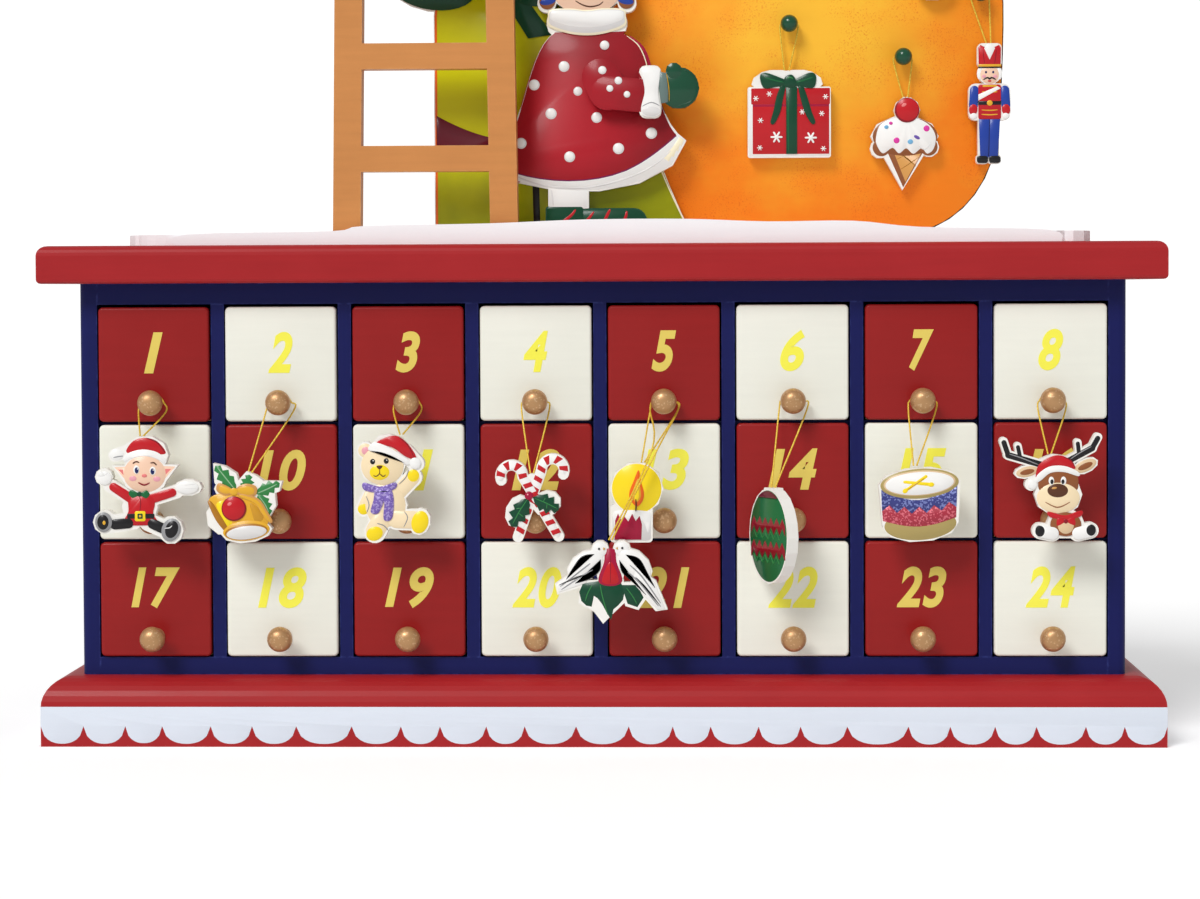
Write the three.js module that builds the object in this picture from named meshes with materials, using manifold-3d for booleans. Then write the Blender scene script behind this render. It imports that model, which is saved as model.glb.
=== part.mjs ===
// A wooden advent calendar: a case of 24 numbered drawers between two moulded boards, hung with
// flat painted ornaments, with a ladder, a figure and two toy sacks standing in snow on its top.
// Millimetres. X runs to the right, Y to the back and Z up; the origin is under the middle of the base.

import * as THREE from 'three';
import { mergeVertices } from 'three/addons/utils/BufferGeometryUtils.js';
import Module from 'manifold-3d';

const wasm = await Module();
wasm.setup();

// Case and boards
const columns = 8;
const rows = 3;
const openingWidth = 41;
const dividerThickness = 4.7;
const caseWall = 6.5;
const caseDepth = 70;
const caseEdgeRadius = 3;
const topRail = 7.5;
const bottomRail = 6.3;
const backPanelThickness = 4;
const shelfThickness = 2.4;
const boardSideOverhang = 13;
const boardFrontOverhang = 11;
const baseEdgeHeight = 14;
const baseRoundover = 10.5;
const topBoardThickness = 13.5;
const topBoardUpperRadius = 3.5;
const topBoardLowerRadius = 1.5;

// Drawers
const faceHeight = 41;
const faceThickness = 5;
const faceProud = 1.5;
const faceCornerRadius = 1.6;
const faceEasing = 0.7;
const faceSideGap = 0.6;
const faceGap = 1.2;
const faceTopGap = 1;
const runningGap = 0.4;
const drawerLength = 60;
const drawerSideThickness = 2.2;
const drawerBottomThickness = 2;
const drawerBoxInset = 0.3;
const drawerBoxDrop = 3.4;
const shelfSetback = 0.5;

// Knobs
const knobRadius = 4.6;
const knobReach = 11.5;
const knobHeadLength = 6.8;
const knobNeckRadius = 2.2;
const knobFootRadius = 3.4;
const knobFootLength = 1.4;
const knobHeight = 7;

// Hung ornaments and their threads
const ornamentThickness = 5;
const ornamentClearance = 0.7;
const doveClearance = 0.6;
const threadDiameter = 0.8;
const threadClearance = 0.3;
const threadSides = 5;
const threadStepsPerPoint = 2;
const threadSpread = 0.55;
const threadStep = 0.5;
const threadPastHead = 0.92;
const threadBesideNeck = 0.78;
const threadShoulder = 0.86;
const threadCrown = 1.06;
const threadHeadDrop = 0.75;
const threadHeadStandoff = 0.5;
const crossingX = -3.2;
const crossingDrop = 16.6;
const crossingSpread = 0.9;
const crossingEase = 0.9;
const baubleHalfWidth = 13;
const baubleHalfHeight = 16.8;
const baubleTurn = THREE.MathUtils.degToRad(60);
const baubleFaceClearance = 1.5;

// Pieces on the top board
const snowPlateThickness = 4;
const snowPlateHalfWidth = 168;
const snowPlateFront = 32;
const snowPlateBack = 26;
const snowStripDepth = 8;
const ladderThickness = 8;
const ladderHeight = 152;
const ladderBottomWidth = 66.8;
const ladderTopWidth = 62.6;
const ladderRailWidth = 10;
const ladderRungHeight = 9.3;
const ladderRungPitch = 36.8;
const ladderFirstRung = 22.4;
const ladderMiddle = -63;
const ladderGapBehind = 6.5;
const snowCornerRadius = 12;
const snowStripInset = 4;
const armThickness = 5.5;
const figureThickness = 6;
const figureReach = 60;
const soleTrim = 0.3;
const figureMiddle = -5;
const limeSackThickness = 5;
const orangeSackThickness = 6;
const standingFront = -17;
const pegNeckRadius = 1.6;
const pegNeckLength = 3;
const pegBallRadius = 3.2;
const pegBallSteps = 5;
const pegBallSink = 0.7;
const pegBallStart = 0.16;
const pegOrnamentThickness = 4.5;
const pegOrnamentGap = 0.8;
const pegTieDepth = 1.2;
const pegLoopShare = 0.9;

// Sizes worked out from those above
const caseInnerWidth = columns * openingWidth + (columns - 1) * dividerThickness;
const caseWidth = caseInnerWidth + 2 * caseWall;
const caseInnerHeight = runningGap + rows * faceHeight + (rows - 1) * faceGap + faceTopGap;
const baseHeight = baseEdgeHeight + baseRoundover;
const caseFloor = baseHeight + bottomRail;
const caseCeiling = caseFloor + caseInnerHeight;
const caseTop = caseCeiling + topRail;
const boardTop = caseTop + topBoardThickness;
const caseFront = -caseDepth / 2;
const faceFront = caseFront - faceProud;
const faceBack = faceFront + faceThickness;
const backPanelFront = caseDepth / 2 - backPanelThickness;
const boardWidth = caseWidth + 2 * boardSideOverhang;
const boardDepth = caseDepth + 2 * boardFrontOverhang;
const faceWidth = openingWidth - 2 * faceSideGap;
const snowTop = boardTop + snowPlateThickness;
const columnPitch = openingWidth + dividerThickness;
const rowPitch = faceHeight + faceGap;
const columnX = (column) => (column - (columns - 1) / 2) * columnPitch;
const faceBottom = (row) => caseFloor + runningGap + (rows - 1 - row) * rowPitch;
const threadRadius = threadDiameter / 2;
const knobHeadBack = knobReach - knobHeadLength;
const threadReach = (knobFootLength + knobHeadBack) / 2;
const ornamentReach = knobReach + ornamentClearance;

// Colours and finishes
const paint = (color, roughness = 0.45) => new THREE.MeshStandardMaterial({ color, roughness, metalness: 0 });
const redPaint = paint(0xa52326);
const creamPaint = paint(0xeceadd);
const navyPaint = paint(0x161c5f);
const snowPaint = paint(0xf1f3f7);
const ladderPaint = paint(0xd08c4e);
const dressPaint = paint(0xb01c28, 0.35);
const limePaint = paint(0xb4bc10, 0.4);
const orangePaint = paint(0xfa9c30, 0.5);
const ornamentPaint = paint(0xf3efe4, 0.5);
const goldThread = new THREE.MeshStandardMaterial({ color: 0xe0c060, roughness: 0.4, metalness: 0.5 });

// Solids: closed geometries are joined and cut as manifolds
function solidOf(geometry) {
  const bare = new THREE.BufferGeometry();
  bare.setAttribute('position', geometry.getAttribute('position').clone());
  if (geometry.index) {
    bare.setIndex(geometry.index.clone());
  }
  const merged = mergeVertices(bare, 1e-4);
  const position = merged.getAttribute('position').array;
  const index = merged.index.array;
  const triangles = [];
  for (let i = 0; i < index.length; i += 3) {
    const [a, b, c] = [index[i], index[i + 1], index[i + 2]];
    if (a !== b && b !== c && c !== a) {
      triangles.push(a, b, c);
    }
  }
  const mesh = new wasm.Mesh({
    numProp: 3,
    vertProperties: new Float32Array(position),
    triVerts: new Uint32Array(triangles),
  });
  return new wasm.Manifold(mesh);
}

function geometryOf(solid) {
  const mesh = solid.getMesh();
  const geometry = new THREE.BufferGeometry();
  geometry.setAttribute('position', new THREE.BufferAttribute(new Float32Array(mesh.vertProperties), 3));
  geometry.setIndex(new THREE.BufferAttribute(new Uint32Array(mesh.triVerts), 1));
  return geometry;
}

function join(geometries) {
  return geometryOf(geometries.map(solidOf).reduce((whole, piece) => whole.add(piece)));
}

function cut(geometry, tool) {
  return geometryOf(solidOf(geometry).subtract(solidOf(tool)));
}

// A box from its lowest to its highest corner
function block(low, high) {
  const [width, depth, height] = high.map((value, i) => value - low[i]);
  const middle = high.map((value, i) => (value + low[i]) / 2);
  return new THREE.BoxGeometry(width, depth, height).translate(...middle);
}

// A flat piece drawn as seen from the front, in X and Z, between a front and a back depth
function upright(shape, front, back, curveSegments = 6) {
  const depth = back - front;
  const geometry = new THREE.ExtrudeGeometry(shape, { depth, bevelEnabled: false, curveSegments });
  return geometry.rotateX(Math.PI / 2).translate(0, back, 0);
}

// A flat piece drawn in plan, in X and Y, lying from one height up to another
function lying(shape, bottom, top, curveSegments = 6) {
  const depth = top - bottom;
  const geometry = new THREE.ExtrudeGeometry(shape, { depth, bevelEnabled: false, curveSegments });
  return geometry.translate(0, 0, bottom);
}

// A turned piece whose axis runs to the front from a point; its profile is radius against reach
function turned(profile, x, y, z, segments) {
  const points = profile.map(([radius, reach]) => new THREE.Vector2(radius, reach));
  const geometry = new THREE.LatheGeometry(points, segments);
  return geometry.rotateX(Math.PI).translate(x, y, z);
}

// Outlines
function polygon(points) {
  return new THREE.Shape(points.map(([x, z]) => new THREE.Vector2(x, z)));
}

function disc(x, z, radius) {
  return oval(x, z, radius, radius);
}

function oval(x, z, halfWidth, halfHeight, turn = 0) {
  const shape = new THREE.Shape();
  shape.absellipse(x, z, halfWidth, halfHeight, 0, Math.PI * 2, false, THREE.MathUtils.degToRad(turn));
  return shape;
}

function limb(x0, z0, x1, z1, radius) {
  const along = Math.atan2(z1 - z0, x1 - x0);
  const shape = new THREE.Shape();
  shape.absarc(x0, z0, radius, along + Math.PI / 2, along - Math.PI / 2, false);
  shape.absarc(x1, z1, radius, along - Math.PI / 2, along + Math.PI / 2, false);
  shape.closePath();
  return shape;
}

function roundedRectangle(left, bottom, right, top, radius, steps = 3) {
  const corners = [[right, bottom, 1.5], [right, top, 0], [left, top, 0.5], [left, bottom, 1]];
  const points = [];
  for (const [x, z, start] of corners) {
    const middleX = x === right ? x - radius : x + radius;
    const middleZ = z === top ? z - radius : z + radius;
    for (let step = 0; step <= steps; step += 1) {
      const angle = Math.PI * (start + (0.5 * step) / steps);
      points.push([middleX + radius * Math.cos(angle), middleZ + radius * Math.sin(angle)]);
    }
  }
  return polygon(points);
}

function smooth(points) {
  const curve = new THREE.SplineCurve(points.map(([x, z]) => new THREE.Vector2(x, z)));
  return curve.getPoints(4 * (points.length - 1)).map((point) => [point.x, point.y]);
}

// Outlines joined into one flat piece, each cut from the same sheet
function plate(shapes, front, back, curveSegments = 5) {
  return join(shapes.map((shape) => upright(shape, front, back, curveSegments)));
}

// A board with its corners square in plan and its edges worked to a profile of [inset, height]
function mouldedBoard(width, depth, profile) {
  const positions = [];
  for (const [inset, height] of profile) {
    const halfWidth = width / 2 - inset;
    const front = -depth / 2 + inset;
    const back = depth / 2 - inset;
    positions.push(-halfWidth, front, height, halfWidth, front, height);
    positions.push(halfWidth, back, height, -halfWidth, back, height);
  }
  const index = [0, 2, 1, 0, 3, 2];
  const last = 4 * (profile.length - 1);
  for (let ring = 0; ring < last; ring += 4) {
    for (let side = 0; side < 4; side += 1) {
      const next = (side + 1) % 4;
      index.push(ring + side, ring + next, ring + 4 + next, ring + side, ring + 4 + next, ring + 4 + side);
    }
  }
  index.push(last, last + 1, last + 2, last, last + 2, last + 3);
  const geometry = new THREE.BufferGeometry();
  geometry.setAttribute('position', new THREE.Float32BufferAttribute(positions, 3));
  geometry.setIndex(index);
  return geometry;
}

// Quarter-round profile points, from the edge at its start angle to its end angle
function quarterRound(radius, height, steps, rising) {
  const points = [];
  for (let step = 0; step <= steps; step += 1) {
    const angle = (Math.PI / 2) * (step / steps);
    if (rising) {
      points.push([radius * (1 - Math.cos(angle)), height + radius * Math.sin(angle)]);
    } else {
      points.push([radius * (1 - Math.sin(angle)), height + radius * (1 - Math.cos(angle))]);
    }
  }
  return points;
}

// The calendar, filled piece by piece
const calendar = new THREE.Group();

function add(name, geometry, material, at = [0, 0, 0]) {
  const mesh = new THREE.Mesh(geometry, material);
  mesh.name = name;
  mesh.position.set(...at);
  calendar.add(mesh);
  return mesh;
}

// Boards above and below the case
function addBoards() {
  const baseProfile = [[0, 0], ...quarterRound(baseRoundover, baseEdgeHeight, 8, true)];
  add('base_board', mouldedBoard(boardWidth, boardDepth, baseProfile), redPaint);
  const topProfile = [
    ...quarterRound(topBoardLowerRadius, caseTop, 3, false),
    ...quarterRound(topBoardUpperRadius, boardTop - topBoardUpperRadius, 5, true),
  ];
  add('top_board', mouldedBoard(boardWidth, boardDepth, topProfile), redPaint);
}

// Case: two sides with rounded outer edges, top and bottom rails between them, and a let-in back
function addCase() {
  for (const [name, side] of [['case_side_left', -1], ['case_side_right', 1]]) {
    const outer = (side * caseWidth) / 2;
    const inner = (side * caseInnerWidth) / 2;
    const shape = new THREE.Shape();
    const rim = outer - side * caseEdgeRadius;
    const clockwise = side < 0;
    shape.moveTo(inner, caseFront);
    shape.lineTo(rim, caseFront);
    shape.absarc(rim, caseFront + caseEdgeRadius, caseEdgeRadius, -Math.PI / 2, clockwise ? -Math.PI : 0, clockwise);
    shape.lineTo(outer, -caseFront - caseEdgeRadius);
    shape.absarc(rim, -caseFront - caseEdgeRadius, caseEdgeRadius, clockwise ? Math.PI : 0, Math.PI / 2, clockwise);
    shape.lineTo(inner, -caseFront);
    add(name, lying(shape, baseHeight, caseTop, 5), navyPaint);
  }
  const half = caseInnerWidth / 2;
  add('case_bottom', block([-half, caseFront, baseHeight], [half, -caseFront, caseFloor]), navyPaint);
  add('case_top', block([-half, caseFront, caseCeiling], [half, -caseFront, caseTop]), navyPaint);
  add('back_panel', block([-half, backPanelFront, caseFloor], [half, -caseFront, caseCeiling]), navyPaint);
}

// Dividers and shelves halved together; the shelves stop behind the drawer fronts
function addDividerGrid() {
  const pieces = [];
  for (let i = 1; i < columns; i += 1) {
    const middle = (columnX(i - 1) + columnX(i)) / 2;
    const half = dividerThickness / 2;
    pieces.push(block([middle - half, caseFront, caseFloor], [middle + half, backPanelFront, caseCeiling]));
  }
  for (let row = 0; row < rows - 1; row += 1) {
    const top = faceBottom(row) - runningGap;
    const low = [-caseInnerWidth / 2, faceBack + shelfSetback, top - shelfThickness];
    pieces.push(block(low, [caseInnerWidth / 2, backPanelFront, top]));
  }
  add('divider_grid', join(pieces), navyPaint);
}

// One drawer: a rounded front, an open box behind it and a turned knob, with its origin at the
// middle of the front's lower edge, in the plane of its face
function drawerGeometry() {
  const half = faceWidth / 2;
  const edge = faceEasing;
  const outline = roundedRectangle(-half + edge, edge, half - edge, faceHeight - edge, faceCornerRadius, 2);
  const front = new THREE.ExtrudeGeometry(outline, {
    depth: faceThickness - 2 * edge,
    bevelThickness: edge,
    bevelSize: edge,
    bevelSegments: 1,
    curveSegments: 2,
  });
  front.rotateX(Math.PI / 2).translate(0, faceThickness - edge, 0);
  const outer = half - drawerBoxInset;
  const inner = outer - drawerSideThickness;
  const boxTop = faceHeight - drawerBoxDrop;
  const box = cut(
    block([-outer, faceThickness - edge, 0], [outer, drawerLength, boxTop]),
    block([-inner, faceThickness, drawerBottomThickness], [inner, drawerLength - drawerSideThickness, boxTop + 1]),
  );
  return join([front, box, knobGeometry(0, knobHeight)]);
}

function knobGeometry(x, z) {
  const rim = knobRadius;
  const profile = [
    [0, -faceThickness / 2],
    [knobFootRadius, -faceThickness / 2],
    [knobFootRadius, knobFootLength * 0.4],
    [knobNeckRadius, knobFootLength],
    [knobNeckRadius, knobHeadBack],
    [rim, knobHeadBack + knobHeadLength * 0.38],
    [rim * 0.88, knobReach - knobHeadLength * 0.26],
    [rim * 0.5, knobReach - knobHeadLength * 0.05],
    [0, knobReach],
  ];
  return turned(profile, x, 0, z, 9);
}

const drawerName = (number) => `drawer_${String(number).padStart(2, '0')}`;

function addDrawers() {
  const geometry = drawerGeometry();
  for (let row = 0; row < rows; row += 1) {
    for (let column = 0; column < columns; column += 1) {
      const number = row * columns + column + 1;
      const material = (row + column) % 2 === 0 ? redPaint : creamPaint;
      add(drawerName(number), geometry, material, [columnX(column), faceFront, faceBottom(row)]);
    }
  }
}

// Ornament outlines, drawn about the point where each one's thread is tied, with Z up
const elf = [
  oval(1.5, -6.9, 8.3, 6.9),
  limb(-4.5, -5.4, -9.2, -7, 2.4),
  oval(1.3, -13.8, 8.4, 7.4),
  polygon([[-5.5, -10.5], [-10.4, -10.6], [-6, -16.6]]),
  polygon([[8, -10.2], [13.2, -10.4], [8.4, -16.8]]),
  limb(-3.5, -22.5, -11.2, -17.6, 2.4),
  disc(-13.2, -14.6, 3.2),
  limb(3, -22.8, 12.6, -19.8, 2.5),
  oval(16.6, -18.4, 5, 3),
  oval(-0.6, -25.2, 6.4, 7.4),
  limb(-3, -30.2, -11, -31.4, 3.2),
  limb(2.4, -30.6, 8.6, -33.4, 3.2),
  disc(-13, -30.6, 4.3),
  oval(10.4, -33.5, 4.5, 5),
];

const bells = [
  oval(-6.4, -14.2, 9.4, 7.6, 28),
  oval(-1, -20.6, 9.2, 4.2, 6),
  polygon([[-12.6, 3.4], [-8.4, 2.4], [-4.4, -0.2], [-2.8, -6.4], [-8.8, -8], [-12.2, -3.4]]),
  polygon([[-4.6, -3.6], [-0.8, 0.6], [2.4, -0.8], [5.2, -2.8], [11.8, -3], [10.8, -6.6], [3, -9.4]]),
  polygon([[2, -5.6], [9.2, -7.2], [9.6, -11.6], [7.2, -15.6], [2.2, -13]]),
  oval(-8, -5.6, 4.4, 3),
  oval(-0.6, -6.4, 4.2, 2.8),
];

const bear = [
  oval(-6.6, -11.2, 8.2, 7.6),
  disc(-12.6, -5.9, 3.2),
  oval(-3.4, -4.7, 6.6, 4.4, -18),
  limb(1.6, -6.6, 5.2, -10.6, 3),
  limb(-0.6, -20.4, 4.2, -15.4, 3.2),
  oval(-5.6, -25.2, 7.8, 8.4),
  limb(-11, -21.6, -13.4, -26.4, 2.9),
  limb(-7.4, -31, -9.4, -34.6, 4),
  limb(-1.6, -30.2, 5, -30.4, 3.8),
  oval(6.4, -31, 3.9, 4.9, -15),
];

// A cane: a crook swept over an arc, and a straight shaft from the crook's inner end to its foot
function cane(side, hookX, hookZ, hookRadius, footX, footZ, tube) {
  const open = Math.PI * 1.12;
  const crook = new THREE.Shape();
  crook.absarc(0, 0, hookRadius + tube, 0, open, false);
  crook.absarc(0, 0, hookRadius - tube, open, 0, true);
  const points = crook.getPoints(6).map(({ x, y }) => [hookX + side * x, hookZ + y]);
  return [
    polygon(points),
    limb(hookX + side * hookRadius, hookZ, footX, footZ, tube),
    disc(hookX + side * hookRadius * Math.cos(open), hookZ + hookRadius * Math.sin(open), tube),
  ];
}

const canes = [
  ...cane(1, -7.1, -1.2, 3.9, 9.4, -22.4, 1.9),
  ...cane(-1, 7.4, 0.9, 4, -4.9, -22.6, 1.9),
  disc(0, -2.2, 2),
  oval(-4.9, -13.6, 4.4, 6, -20),
  oval(5.2, -10.8, 5.2, 4.6, 20),
];

const candle = [
  disc(-2.2, -9.4, 9.4),
  roundedRectangle(-11.6, -28.4, 3.4, -15, 1.4),
  disc(-8.4, -17.4, 2.6),
  disc(0.4, -17.2, 2.4),
];

const doves = [
  disc(-3.6, -3.6, 3.2),
  disc(4, -3.4, 3.2),
  oval(-8.6, -9.2, 7.4, 5, 34),
  oval(8.4, -9.2, 7.4, 5, -44),
  polygon([[-10, -9], [-19.4, -15.6], [-18.6, -19.4], [-8, -16]]),
  polygon([[9, -9], [16, -14.6], [20, -24.6], [15.8, -25.2], [7, -15]]),
  oval(0, -10.6, 5.2, 7.4),
  polygon([[-10.4, -14.4], [-11.2, -22.4], [-5.8, -25.4], [-2.6, -29.6], [1.4, -25.6], [5.4, -21.8], [4.6, -14]]),
  polygon([[3, -15], [5.2, -23.4], [9.8, -24.8], [12.8, -20.4], [10, -15]]),
];

const bauble = [
  oval(0, -baubleHalfHeight, baubleHalfWidth, baubleHalfHeight),
  roundedRectangle(-3, -2.4, 3, 0.2, 0.6),
];

const drum = [
  oval(1.4, -6.4, 14.4, 5.6, 4),
  polygon([[-12.9, -6.9], [15.7, -5.9], [15, -20], [-11.6, -21.4]]),
  oval(1.7, -21, 13.3, 6, 4),
];

const reindeer = [
  oval(2.2, -6.2, 7.4, 6, -8),
  limb(-3.4, -8.6, -6.6, -10.8, 2.3),
  oval(2.8, -14.4, 8.4, 7.6),
  oval(-8, -6.4, 4.6, 2.4, 12),
  oval(12.2, -4.4, 4.8, 2.6, 24),
  limb(-3, -4, -14.6, -0.6, 1.7),
  limb(-14.6, -0.6, -16.2, 4.2, 1.5),
  limb(-10.4, -1.4, -11.2, 2.6, 1.3),
  limb(6.4, -2.6, 14.6, 1.8, 1.7),
  limb(14.6, 1.8, 16.6, 5.6, 1.5),
  limb(10, -0.2, 9.6, 3.8, 1.3),
  oval(5.4, -24.6, 6.6, 5.4),
  limb(0.8, -28, -3.4, -27.2, 2.9),
  limb(9.6, -28, 14, -27, 2.9),
];

// Where each ornament hangs: its knob, how far beside and below it the thread is tied, and its layer.
// Two threads share one neck, so each is laid a step along it from the middle
const hangings = [
  { name: 'elf', outlines: elf, knob: 1, beside: -1.7, drop: 11.1 },
  { name: 'bells', outlines: bells, knob: 2, beside: -9.2, drop: 24.4 },
  { name: 'bear', outlines: bear, knob: 3, beside: -1, drop: 10.7 },
  { name: 'canes', outlines: canes, knob: 4, beside: -0.7, drop: 24.6 },
  { name: 'candle', outlines: candle, knob: 5, beside: -7.3, drop: 20.8, along: -threadStep },
  { name: 'doves', outlines: doves, knob: 5, beside: -18.7, drop: 47.6, along: threadStep, over: true },
  { name: 'bauble', outlines: bauble, knob: 6, beside: -7.4, drop: 30.4, turned: true },
  { name: 'drum', outlines: drum, knob: 7, beside: -3.3, drop: 22.2 },
  { name: 'reindeer', outlines: reindeer, knob: 8, beside: -2.1, drop: 18.2 },
];

function knobPlace(number) {
  const row = Math.floor((number - 1) / columns);
  return [columnX((number - 1) % columns), faceBottom(row) + knobHeight];
}

// A curve sampled evenly between its control points, so that tight bends keep their share of steps
class HandLaidPath extends THREE.CatmullRomCurve3 {
  getPointAt(t, target) {
    return this.getPoint(t, target);
  }

  getTangentAt(t, target) {
    return this.getTangent(t, target);
  }
}

function tubeAlong(points, diameter, sides) {
  const section = [];
  for (let side = 0; side < sides; side += 1) {
    const angle = (2 * Math.PI * side) / sides;
    section.push(new THREE.Vector2((diameter / 2) * Math.cos(angle), (diameter / 2) * Math.sin(angle)));
  }
  const extrudePath = new HandLaidPath(points.map((point) => new THREE.Vector3(...point)));
  const steps = threadStepsPerPoint * (points.length - 1);
  return new THREE.ExtrudeGeometry(new THREE.Shape(section), { steps, extrudePath, bevelEnabled: false });
}

// A thread from the ornament's top, round a neck and back; reach is measured out from the face. It goes
// past the head's lower edge, in beside the neck and over it, or first across the ornament it hangs over
function threadPoints(neckRadius, headRadius, reach, end, over) {
  const round = neckRadius + threadRadius + threadClearance;
  const beside = headRadius + threadRadius + threadClearance;
  const half = [];
  half.push([end.x + threadSpread, end.reach, end.z + threadRadius]);
  if (over) {
    half.push([over.x + crossingSpread, over.reach, over.z]);
  }
  half.push([beside * threadPastHead, reach + threadHeadStandoff, -headRadius * threadHeadDrop]);
  half.push([beside * threadBesideNeck, reach, 0]);
  half.push([round * threadShoulder, reach, round * threadHeadDrop]);
  const other = half.map(([x, out, z]) => [-x, out, z]).reverse();
  other[other.length - 1] = [end.x - threadSpread, end.reach, end.z + threadRadius];
  if (over) {
    other[other.length - 2] = [over.x - crossingSpread, over.reach, over.z];
  }
  return [...half, [0, reach, round * threadCrown], ...other];
}

function addHangings() {
  for (const { name, outlines, knob, beside, drop, along = 0, over, turned: isTurned } of hangings) {
    const [knobX, knobZ] = knobPlace(knob);
    const layer = over ? ornamentThickness + doveClearance : 0;
    const back = faceFront - ornamentReach - layer;
    let middleReach = ornamentReach + layer + ornamentThickness / 2;
    if (isTurned) {
      middleReach = baubleFaceClearance + baubleHalfWidth * Math.sin(baubleTurn)
        + (ornamentThickness / 2) * Math.cos(baubleTurn);
      const geometry = plate(outlines, -ornamentThickness / 2, ornamentThickness / 2, 10);
      const place = [knobX + beside, faceFront - middleReach, knobZ - drop];
      add(`ornament_${name}`, geometry, ornamentPaint, place).rotation.z = -baubleTurn;
    } else {
      const geometry = plate(outlines, back - ornamentThickness, back);
      add(`ornament_${name}`, geometry, ornamentPaint, [knobX + beside, 0, knobZ - drop]);
    }
    const end = { x: beside, z: -drop + threadClearance, reach: middleReach };
    const crossing = over ? { x: crossingX, z: -crossingDrop, reach: middleReach - crossingEase } : null;
    const points = threadPoints(knobNeckRadius, knobRadius, threadReach + along, end, crossing);
    const placed = points.map(([x, out, z]) => [knobX + x, faceFront - out, knobZ + z]);
    add(`thread_${name}`, tubeAlong(placed, threadDiameter, threadSides), goldThread);
  }
}

// Snow: a flat plate with lobed ends, and a strip along its front with a wavy top
function addSnow() {
  const half = snowPlateHalfWidth;
  const plan = [
    roundedRectangle(-half, -snowPlateFront, half, snowPlateBack, snowCornerRadius, 5),
    oval(-half + 4, -8, 9, 18),
    oval(half + 1, -12, 8, 16),
    oval(-90, snowPlateBack - 2, 46, 8),
    oval(20, snowPlateBack - 2, 40, 9),
    oval(120, snowPlateBack - 2, 36, 7),
  ];
  const plates = plan.map((shape) => lying(shape, boardTop, snowTop, 6));
  const left = -half + snowCornerRadius + snowStripInset;
  const right = half - snowStripInset;
  const crest = smooth([
    [left, 0], [left + 4, 4], [-96, 4.9], [-84, 6.7], [-40, 7.4], [-6, 8.6], [30, 8.7],
    [60, 7.6], [90, 7.7], [114, 5.4], [right - 5, 4.2], [right, 0],
  ]).map(([x, height]) => [x, boardTop + Math.max(0, height)]);
  const stripBack = -snowPlateFront + snowStripInset;
  plates.push(upright(polygon(crest), stripBack - snowStripDepth, stripBack));
  add('snow', join(plates), snowPaint);
}

// Ladder: two rails that close in towards the top, and rungs at a steady pitch
const ladderFront = standingFront - ladderGapBehind - ladderThickness + armThickness;

function addLadder() {
  const bottom = snowTop;
  const top = snowTop + ladderHeight;
  const outerAt = (z) => THREE.MathUtils.lerp(ladderBottomWidth, ladderTopWidth, (z - bottom) / ladderHeight) / 2;
  const back = ladderFront + ladderThickness;
  const pieces = [];
  for (const side of [-1, 1]) {
    const rail = [
      [ladderMiddle + side * outerAt(bottom), bottom],
      [ladderMiddle + side * (outerAt(bottom) - ladderRailWidth), bottom],
      [ladderMiddle + side * (outerAt(top) - ladderRailWidth), top],
      [ladderMiddle + side * outerAt(top), top],
    ];
    pieces.push(upright(polygon(side > 0 ? rail.reverse() : rail), ladderFront, back));
  }
  for (let z = bottom + ladderFirstRung; z + ladderRungHeight < top; z += ladderRungPitch) {
    const reach = outerAt(z + ladderRungHeight) - ladderRailWidth / 2;
    const low = [ladderMiddle - reach, ladderFront, z];
    pieces.push(block(low, [ladderMiddle + reach, back, z + ladderRungHeight]));
  }
  add('ladder', join(pieces), ladderPaint);
}

// Figure: dress, head and hat, one leg with its cuff and shoe; the arm is a second layer
const figureBack = standingFront + armThickness + figureThickness;
const limeBack = figureBack + limeSackThickness;
const orangeBack = limeBack + orangeSackThickness;

function addFigure() {
  const dress = new THREE.Shape();
  dress.moveTo(-12, 73.5);
  dress.bezierCurveTo(-20, 68, -22, 52, -27, 38);
  dress.bezierCurveTo(-30, 31, -34, 29, -36, 24);
  dress.bezierCurveTo(-22, 14, 14, 11, 31, 25);
  dress.lineTo(36, 34);
  dress.bezierCurveTo(30, 38, 28, 44, 25, 54);
  dress.bezierCurveTo(22, 66, 20, 70, 12, 73.5);
  const outlines = [
    dress,
    roundedRectangle(-14.6, 71.6, 14.6, 82.2, 4.4),
    disc(0, 93, 14.4),
    oval(0, 99.5, 16.2, 5.6),
    polygon([[-13.5, 101], [13.5, 101], [8, 113], [15, 119], [12, 123], [2, 119]]),
    disc(15, 119.6, 4.4),
    limb(-13, 92, -14.6, 84, 3.4),
    limb(13, 92, 14.6, 84, 3.4),
    roundedRectangle(-14.4, 8, 0.4, 20, 1.2),
    roundedRectangle(-15.4, 0, -1, 10.4, 1.2),
    limb(-9, 4.8, 16.8, 4.8, 4.8),
  ];
  const body = plate(outlines, figureBack - figureThickness, figureBack);
  const belowFront = figureBack - 2 * figureThickness;
  const below = block([-figureReach, belowFront, -figureReach], [figureReach, figureBack + 1, soleTrim]);
  add('figure', cut(body, below).translate(0, 0, -soleTrim), dressPaint, [figureMiddle, 0, snowTop]);
  const arm = [
    limb(5.2, 56.4, 7.6, 51.6, 7),
    limb(7.6, 51, 19.6, 49.8, 6),
    roundedRectangle(19, 41.6, 27, 60.6, 2.4),
    oval(33.4, 52.4, 7.4, 7.6),
    disc(31.6, 58.6, 3),
  ];
  const armBack = figureBack - figureThickness;
  add('figure_arm', plate(arm, armBack - armThickness, armBack), dressPaint, [figureMiddle, 0, snowTop]);
}

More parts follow.
